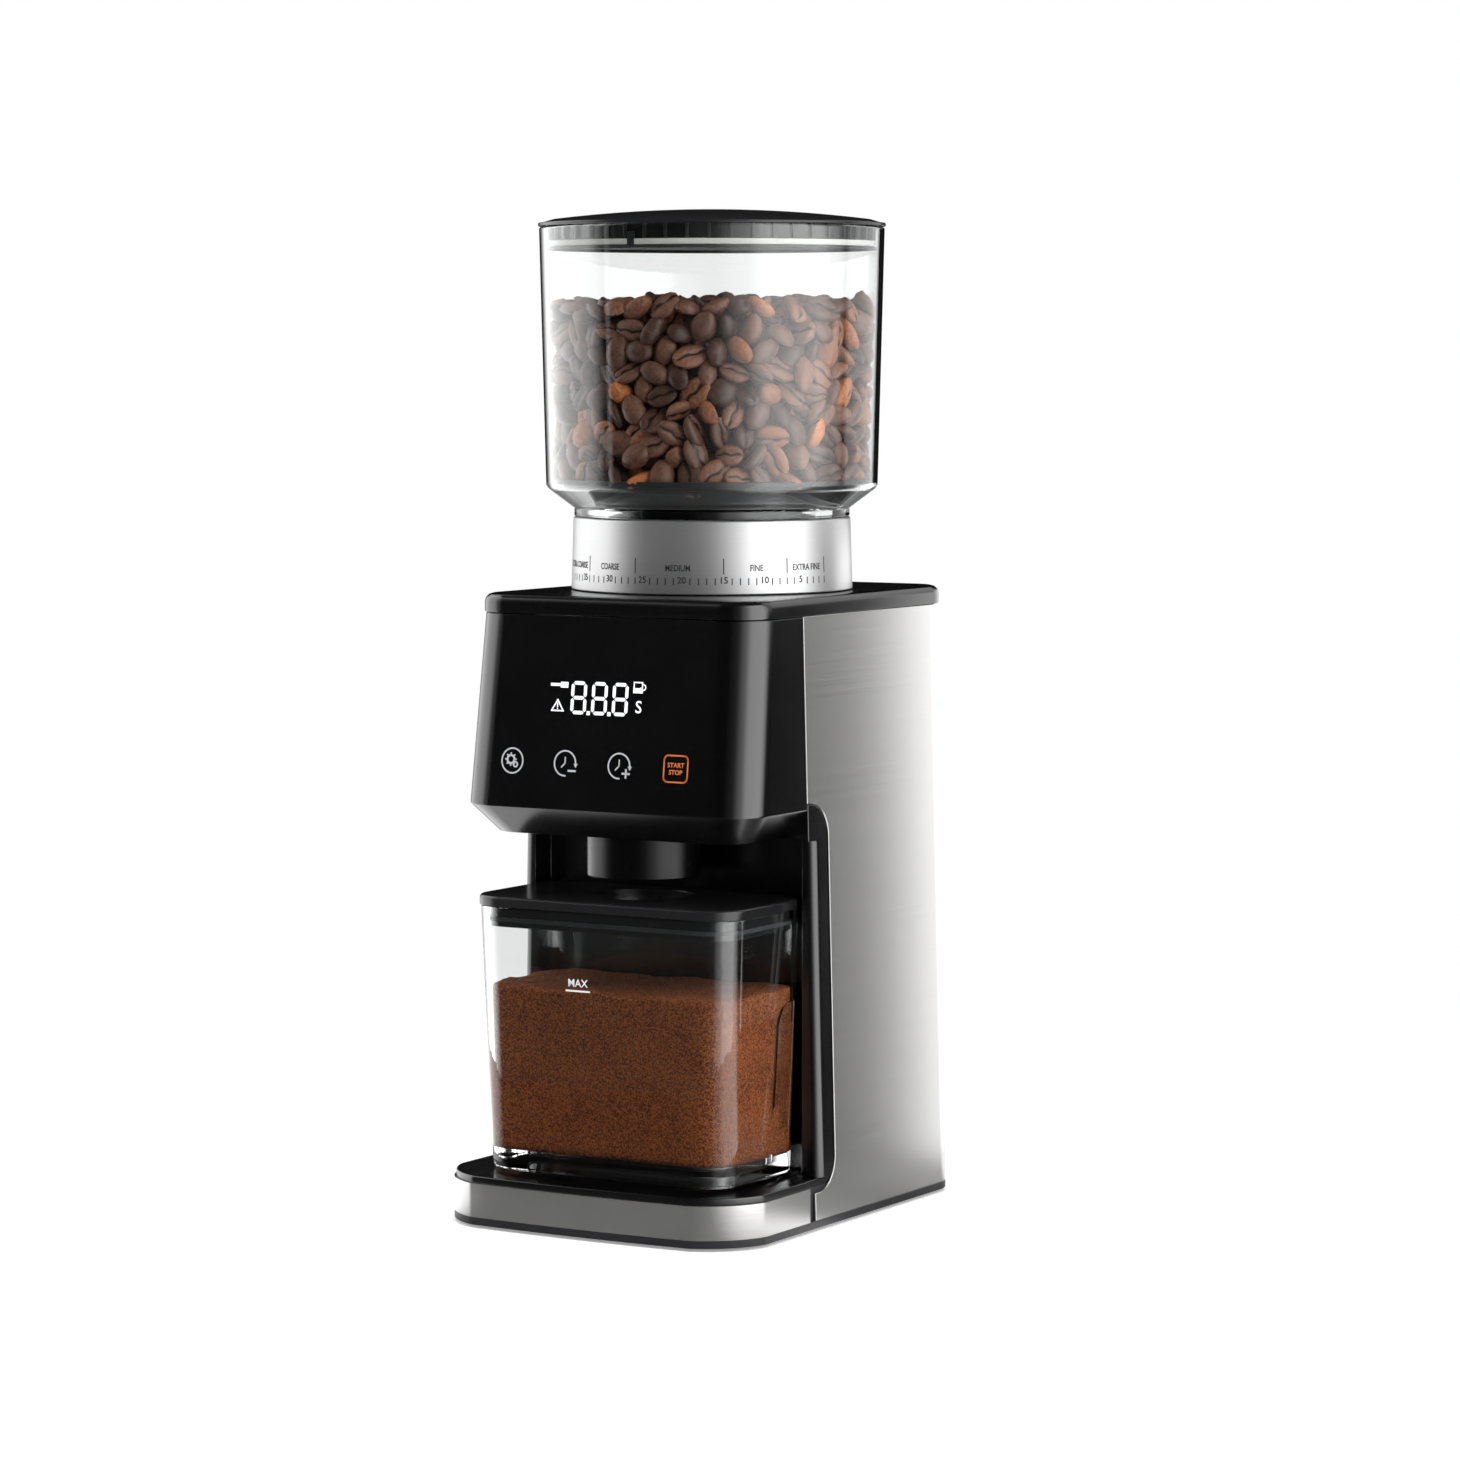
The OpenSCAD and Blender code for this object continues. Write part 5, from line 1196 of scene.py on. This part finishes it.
def roasted():
    """Brown skin that changes from bean to bean, with mottling along each one, and painted shade that darkens the
    crease.
    """
    mat = new_finish("roasted skin", "winding", (0.1, 0.045, 0.025), roughness=0.38)
    t = mat.node_tree
    tone = node(t, "ShaderNodeAttribute", attribute_name="bean_tone").outputs["Fac"]
    place = node(t, "ShaderNodeAttribute", attribute_name="bean_place").outputs["Vector"]
    skin = ramp(t, tone, [(0, (0.06, 0.029, 0.021)), (0.35, (0.14, 0.065, 0.045)), (0.7, (0.23, 0.10, 0.062)),
                          (0.92, (0.36, 0.13, 0.058)), (1, (0.58, 0.19, 0.06))])
    mottle = noise(t, object_place(mat), 900.0, 4.0)
    shade = {0: 1.0, 6: skin, 7: remap(t, mottle, 0.3, 0.7, 0.55, 1.25)}
    shaded = node(t, "ShaderNodeMix", shade, data_type="RGBA", blend_type="MULTIPLY").outputs[2]
    # Painted shade: the crease mask below lays near black along the crease on the flat side, where the pushed-in
    # groove falls in shadow.
    spot = node(t, "ShaderNodeSeparateXYZ", {0: place}).outputs
    wavy = maths(t, "MULTIPLY_ADD", maths(t, "SINE", spot["Y"]), 0.35, spot["X"])
    line = maths(t, "LESS_THAN", maths(t, "ABSOLUTE", wavy), 0.55)
    crease = maths(t, "MULTIPLY", line, maths(t, "LESS_THAN", spot["Z"], -0.1))
    creased = node(t, "ShaderNodeMix", {0: crease, 6: shaded, 7: (0.012, 0.006, 0.004, 1)}, data_type="RGBA")
    plug(t, shader_of(mat).inputs["Base Color"], creased.outputs[2])
    ramp_to(mat, mottle, "Roughness", 0.28, 0.5)
    bump(mat, mottle, 0.5, 1.5e-4)
    return mat


wear(spread_beans(bean, spots, rng), "hopper", roasted())

# %% [markdown]
# ## Grounds jar
# The jar is a tapered block with rounded corners, hollowed by an inset and an extrude down to its thick floor.
# A shallow D-shaped grip is raised on each side. A thin sheet would look emptier: it is the thick clear floor
# and the rounded inner corners that bend the light as a moulded jar does.

# %% Jar
JAR_HALF, JAR_FRONT, JAR_BACK, JAR_LOW, JAR_HIGH = 58, -76.8, -14.5, 20.2, 122.6
JAR_WALL, JAR_FLOOR = 2.6, 28.6
TAPER, FRONT_TAPER, TAPER_HEIGHT = 3.4, 2.4, 99     # how far walls lean in over the taper's height


def jar_block(name, inset, low, high):
    """A tapered block with rounded corners that follows the jar's walls, open in edit mode."""
    top = JAR_HALF - inset
    jar = block(name, (-top, JAR_FRONT + inset, low), (top, JAR_BACK - inset, high))
    reach = TAPER * (high - low) / TAPER_HEIGHT
    widen(low, (top - reach) / top)
    move_picked(lambda co, v: abs(co.z - low) < 0.05 and co.y < -60, y=FRONT_TAPER * (high - low) / TAPER_HEIGHT)
    round_upright(lambda p: p.y < -60, 14 - inset, 12)
    round_upright(lambda p: p.y > -30, 12 - inset, 12)
    return jar


def make_jar():
    jar = jar_block("jar_wall", 0, JAR_LOW, JAR_HIGH)
    inset_picked(faces_up, JAR_WALL)
    push_in_or_out(-94)
    bpy.ops.transform.resize(value=((JAR_HALF - JAR_WALL - 3.2) / 55.4, 0.963, 1),
                             center_override=(0, -17.1 * mm, JAR_FLOOR * mm))
    bevel_picked(lambda p, e: p.z < JAR_LOW + 0.1 and not upright(e), 2.2, 4)
    bevel_picked(lambda p, e: abs(p.z - JAR_FLOOR) < 0.2 and not upright(e), 2.5, 4)
    bevel_picked(lambda p, e: p.z > JAR_HIGH - 0.1 and not upright(e), 0.6, 2)
    object_mode(jar)
    for s in (-1, 1):
        grip = block("grip", (s * JAR_HALF - 0.6, -39, 27), (s * JAR_HALF + 0.6, -8, 88))
        bevel_picked(lambda p, e: p.z > 80 and p.y < -30 and abs(e.verts[0].co.x - e.verts[1].co.x) > 0.001, 11, 10)
        move_picked(lambda co, v: co.z < 40, x=-s * 3.0)
        object_mode(grip)
        cut(grip, object_mode(block("limit", (s * 56 - 5, -60, 20), (s * 56 + 5, -27, 100))), "INTERSECT")
        cut(jar, grip, "UNION")
    return finish_mesh(jar, 25)


wear(make_jar(), "jar", clear, "grounds_jar")

# %% [markdown]
# ## Jar lid
# A flat cap with a rim that reaches down into the jar, and a short collar round the hole that the chute feeds.
# It is pushed and pulled out of one block: the rim goes down from an inset of its underside, and a second inset
# hollows the rim again. The hole is cut last, so that it goes clean through cap and collar.

# %% Jar lid
def make_jar_lid():
    lid = block("jar_cap", (-58.6, -77.4, 122.8), (58.6, -13.9, 126.8))
    round_upright(lambda p: True, 14.6, 14)
    inset_picked(faces_down, 4.0)
    push_in_or_out(-7.9)
    inset_picked(lambda p, f: f.normal.z < -0.9 and p.z < 116, 2.0)
    push_in_or_out(9.5)
    bevel_picked(lambda p, e: p.z > 126.7 and not upright(e), 1.3, 4)
    object_mode(lid)
    cut(lid, peg("collar", (*CHUTE_SPOT, 122.2), 21, 7.6, vertices=96), "UNION")
    cut(lid, peg("way", (*CHUTE_SPOT, 122), 19, 30, vertices=96))
    soften(lid, 0.3, 2)
    return finish_mesh(lid)


wear(make_jar_lid(), "jar_lid", lid_gloss, "jar_lid")

# %% [markdown]
# ## Ground coffee
# Fresh grounds fill the jar up to its mark and end in an uneven top. The block follows the inside of the
# jar, is cut into small cells, and its top is lifted and lowered by a soft noise. Single grains would take
# millions of faces, so they are left to the finish: small cells of three browns, each raised a little.

# %% Ground coffee
def make_grounds():
    grounds = jar_block("grounds", 2.75, 28.75, 92)
    scale_picked(lambda co, v: co.z > 90, 0.981, 0.98, (0, -17.25, 92))
    object_mode(grounds)
    modify(grounds, "REMESH", mode="VOXEL", voxel_size=1.3 * mm)
    heap = bpy.data.textures.new("heap", "CLOUDS")
    heap.noise_scale = 0.012
    edit_all(grounds)
    pick("VERT", lambda co, v: co.z > 91)
    bpy.ops.object.vertex_group_add()
    bpy.ops.object.vertex_group_assign()
    object_mode(grounds)
    modify(grounds, "DISPLACE", texture=heap, strength=2.6 * mm, mid_level=0.35, direction="Z",
           vertex_group=grounds.vertex_groups[0].name)
    return finish_mesh(grounds, 60)


def ground_coffee():
    """Grains in three browns over a slow drift of tone, each grain a small bump."""
    mat = new_finish("ground coffee", "winding", (0.09, 0.03, 0.013), roughness=0.9)
    t = mat.node_tree
    speck = node(t, "ShaderNodeTexVoronoi", {"Vector": object_place(mat), "Scale": 2300.0}).outputs
    grain = node(t, "ShaderNodeSeparateColor", {0: speck["Color"]}).outputs[0]
    tone = maths(t, "MULTIPLY_ADD", noise(t, object_place(mat), 60.0), 0.35, grain)
    tint(mat, tone, [(0.25, (0.075, 0.019, 0.006)), (0.6, (0.17, 0.043, 0.011)), (0.95, (0.34, 0.105, 0.032))])
    bump(mat, speck["Distance"], 0.5, 2.5e-4)
    return mat


wear(make_grounds(), "jar", ground_coffee())

# %% [markdown]
# ## Touch panel
# The panel is the leaning front of the head. Its print is white, grey and one orange key. All of it is laid
# out flat in mm, in the panel's own plane, then stood up against the panel. A printed image would be lighter,
# but flat shapes stay sharp at any size and each group of them stays a piece that can be changed.

# %% Rings, triangles and other flat shapes
def ring_shape(x, z, outer, stroke, gap=None, corners=56):
    """A flat ring, or an arc when gap gives the first and last degree that is left out."""
    clean_hands()
    bpy.ops.mesh.primitive_circle_add(vertices=corners, radius=outer * mm, location=(0, 0, 0))
    ring = named("ring")
    inner = (outer - stroke) / outer
    bpy.ops.mesh.extrude_edges_move(TRANSFORM_OT_translate={"value": (0, 0, 0)})
    bpy.ops.transform.resize(value=(inner, inner, 1), center_override=(0, 0, 0))
    if gap:
        pick("FACE", lambda p, f: gap[0] < math.degrees(math.atan2(p.y, p.x)) < gap[1])
        bpy.ops.mesh.delete(type="FACE")
    object_mode(ring)
    ring.data.transform(Matrix.Translation((x * mm, z * mm, 0)))
    return ring


def slab_shape(points):
    """A flat face from its corners in mm."""
    mesh = bpy.data.meshes.new("slab")
    mesh.from_pydata([(x * mm, z * mm, 0) for x, z in points], [], [tuple(range(len(points)))])
    slab = bpy.data.objects.new("slab", mesh)
    bpy.context.scene.collection.objects.link(slab)
    return slab


def line_shape(a, b, w):
    """A stroke of width w from one point to another."""
    a, b = Vector(a), Vector(b)
    run = (b - a).normalized() * w / 2
    side = Vector((-run.y, run.x))
    return slab_shape([a - run - side, b + run - side, b + run + side, a - run + side])


PANEL_TOP, PRINT_PIVOT = 235, 180   # heights of the panel's top and of the line the print turns about
PANEL_SLOPE = 6.75                  # degrees from upright


def strokes_round(points, stroke):
    """Strokes from point to point and back to the first."""
    return [line_shape(points[i - 1], points[i], stroke) for i in range(len(points))]


def on_panel(shapes, name, finish):
    """Joins flat shapes, thickens them, and stands them on the leaning panel."""
    print_piece = thicken(joined(shapes, name))
    tilt = Matrix.Rotation(math.radians(90 - PANEL_SLOPE), 4, "X")
    front = -PANEL_FRONT * mm - LEAN / LEAN_HEIGHT * (PANEL_TOP - PRINT_PIVOT) * mm - 0.03 * mm
    print_piece.data.transform(Matrix.Translation((0, front, PRINT_PIVOT * mm)) @ tilt
                               @ Matrix.Translation((0, -PRINT_PIVOT * mm, 0)))
    return wear(print_piece, "housing", finish)


def lit(name, color, roughness, strength, light):
    """Print that gives off a little light of its own."""
    return moulded(name, "display_white", color, roughness, grain=2000, depth=0, Emission_Strength=strength,
                   Emission_Color=(*light, 1))


print("flat shapes ready")

# %% [markdown]
# ## Display
# The digits show through the dark panel as bars of light. Each digit is seven six-cornered bars with small
# gaps, as on a real display, rather than letters of a typeface. Small signs stand round them: a filter holder,
# a cup, an S and a warning triangle.

# %% Display digits
BAR_GAP = 0.28


def lit_bar(a, b, t):
    """A six-cornered bar, level or upright, from tip to tip."""
    a, b = Vector(a), Vector(b)
    run = (b - a).normalized() * t / 2
    side = Vector((run.y, run.x))
    return slab_shape([a, a + run + side, b - run + side, b, b - run - side, a + run - side])


def digit(x, z, w=7.0, h=12.6, t=1.35):
    """Seven bars of a digit with bevelled ends and small gaps."""
    reach, height = w / 2 - t / 2, h / 2 - t / 2
    bars = [lit_bar((x - reach + BAR_GAP, z + dz), (x + reach - BAR_GAP, z + dz), t) for dz in (-height, 0, height)]
    for dx in (-reach, reach):
        for low, high in ((BAR_GAP - height, -BAR_GAP), (BAR_GAP, height - BAR_GAP)):
            bars.append(lit_bar((x + dx, z + low), (x + dx, z + high), t))
    return bars


white_light = lit("lit white", (0.85, 0.86, 0.88), 0.4, 0.35, (0.95, 0.96, 1))
digits = [bar for x in (-11.5, -2.2, 7.05) for bar in digit(x, 204.1)]
digits += [bar_shape(x, 198.4, 1.5, 1.5) for x in (-6.85, 2.45)]
digits += [bar_shape(-22.2, 208.8, 4.4, 1.1), bar_shape(-18.2, 208.8, 3.4, 2.2)]
digits += strokes_round([(12.9, 207.0), (16.6, 207.0), (16.6, 210.8), (12.9, 210.8)], 0.5)
digits += [bar_shape(14.75, 208.0, 3.2, 1.4), ring_shape(17.0, 209.0, 1.3, 0.45, gap=(95, 181))]
digits += [text_shape("S", 4.6, 15.4, 201.3)]
on_panel(digits, "display_digits", white_light)
warning = strokes_round([(-23.4, 198.9), (-18.2, 198.9), (-20.8, 203.0)], 0.55)
warning += [line_shape((-20.8, 200.4), (-20.8, 201.7), 0.5), bar_shape(-20.8, 199.7, 0.5, 0.45)]
on_panel(warning, "display_warning", white_light)

# %% [markdown]
# ## Touch keys
# Four keys are printed on the panel: a grind sign, two timers with plus and minus, and the orange start and stop
# key. The grey ones are dimmer than the display, so the eye finds the digits first.

# %% Touch keys
def clock(x, z):
    """The two hands of a clock."""
    return [line_shape((x, z + 2.2), (x, z), 0.5), line_shape((x, z), (x - 1.5, z - 1.5), 0.5)]


KEY_Z = 179.0
keys = [ring_shape(-39.8, KEY_Z, 5.05, 0.6), ring_shape(-40.5, KEY_Z + 0.5, 2.0, 0.85, corners=24),
        ring_shape(-38.3, KEY_Z - 1.4, 1.2, 0.6, corners=20)]
for a in range(8):
    c, s = math.cos(a * math.pi / 4), math.sin(a * math.pi / 4)
    keys.append(line_shape((-40.5 + 1.8 * c, KEY_Z + 0.5 + 1.8 * s), (-40.5 + 2.3 * c, KEY_Z + 0.5 + 2.3 * s), 0.6))
for x in (-15.9, 8.3):
    keys += [ring_shape(x, KEY_Z, 5.05, 0.6, gap=(-82, -8))] + clock(x, KEY_Z)
    keys += [slab_shape([(x + 3.9, KEY_Z), (x + 5.7, KEY_Z), (x + 4.8, KEY_Z - 1.6)])]
    keys += [bar_shape(x + 3.2, KEY_Z - 2.8, 3.6, 0.75)]
keys += [bar_shape(11.5, KEY_Z - 2.8, 0.75, 3.6)]
on_panel(keys, "key_print", lit("key print grey", (0.42, 0.43, 0.45), 0.45, 0.1, (0.8, 0.85, 0.9)))


def rounded_ring(x, z, w, h, r, stroke):
    """A rounded square outline made of short strokes."""
    points = []
    for cx, cz, start in ((w - r, h - r, 0), (-w + r, h - r, 90), (-w + r, -h + r, 180), (w - r, -h + r, 270)):
        points += [(x + cx + r * math.cos(math.radians(start + a)), z + cz + r * math.sin(math.radians(start + a)))
                   for a in range(0, 91, 18)]
    return strokes_round(points, stroke)


start_key = rounded_ring(33.4, KEY_Z, 5.2, 5.0, 1.8, 0.6)
start_key += [text_shape("START", 1.75, 33.4, KEY_Z + 1.3), text_shape("STOP", 1.75, 33.4, KEY_Z - 1.4)]
on_panel(start_key, "start_stop_key", lit("key print orange", (0.55, 0.13, 0.03), 0.45, 0.08, (1, 0.3, 0.08)))

# %% [markdown]
# ## Fill mark
# The jar's limit is a printed word over a line, high on its front wall. It is made like the print on the panel
# and tilted with the wall's taper, so that it lies on the plastic all the way and doesn't float before it.

# %% Fill mark on the jar
MARK_PIVOT, TAPER_START = 95, 119.2


def fill_mark():
    mark = joined([text_shape("MAX", 2.9, -8, 95.6), bar_shape(-8, 92.7, 11, 0.7)], "fill_mark")
    mark = thicken(mark, 0.05)
    tilt = Matrix.Rotation(math.pi / 2 + math.atan(FRONT_TAPER / TAPER_HEIGHT), 4, "X")
    front = (JAR_FRONT + FRONT_TAPER * (TAPER_START - MARK_PIVOT) / TAPER_HEIGHT - 0.02) * mm
    mark.data.transform(Matrix.Translation((0, front, MARK_PIVOT * mm)) @ tilt
                        @ Matrix.Translation((0, -MARK_PIVOT * mm, 0)))
    return mark


white_ink = moulded("white ink", "display_white", (0.8, 0.8, 0.8), 0.5, grain=2400, depth=0)
wear(fill_mark(), "jar", white_ink)

# %% Back to object mode with nothing selected
clean_hands()
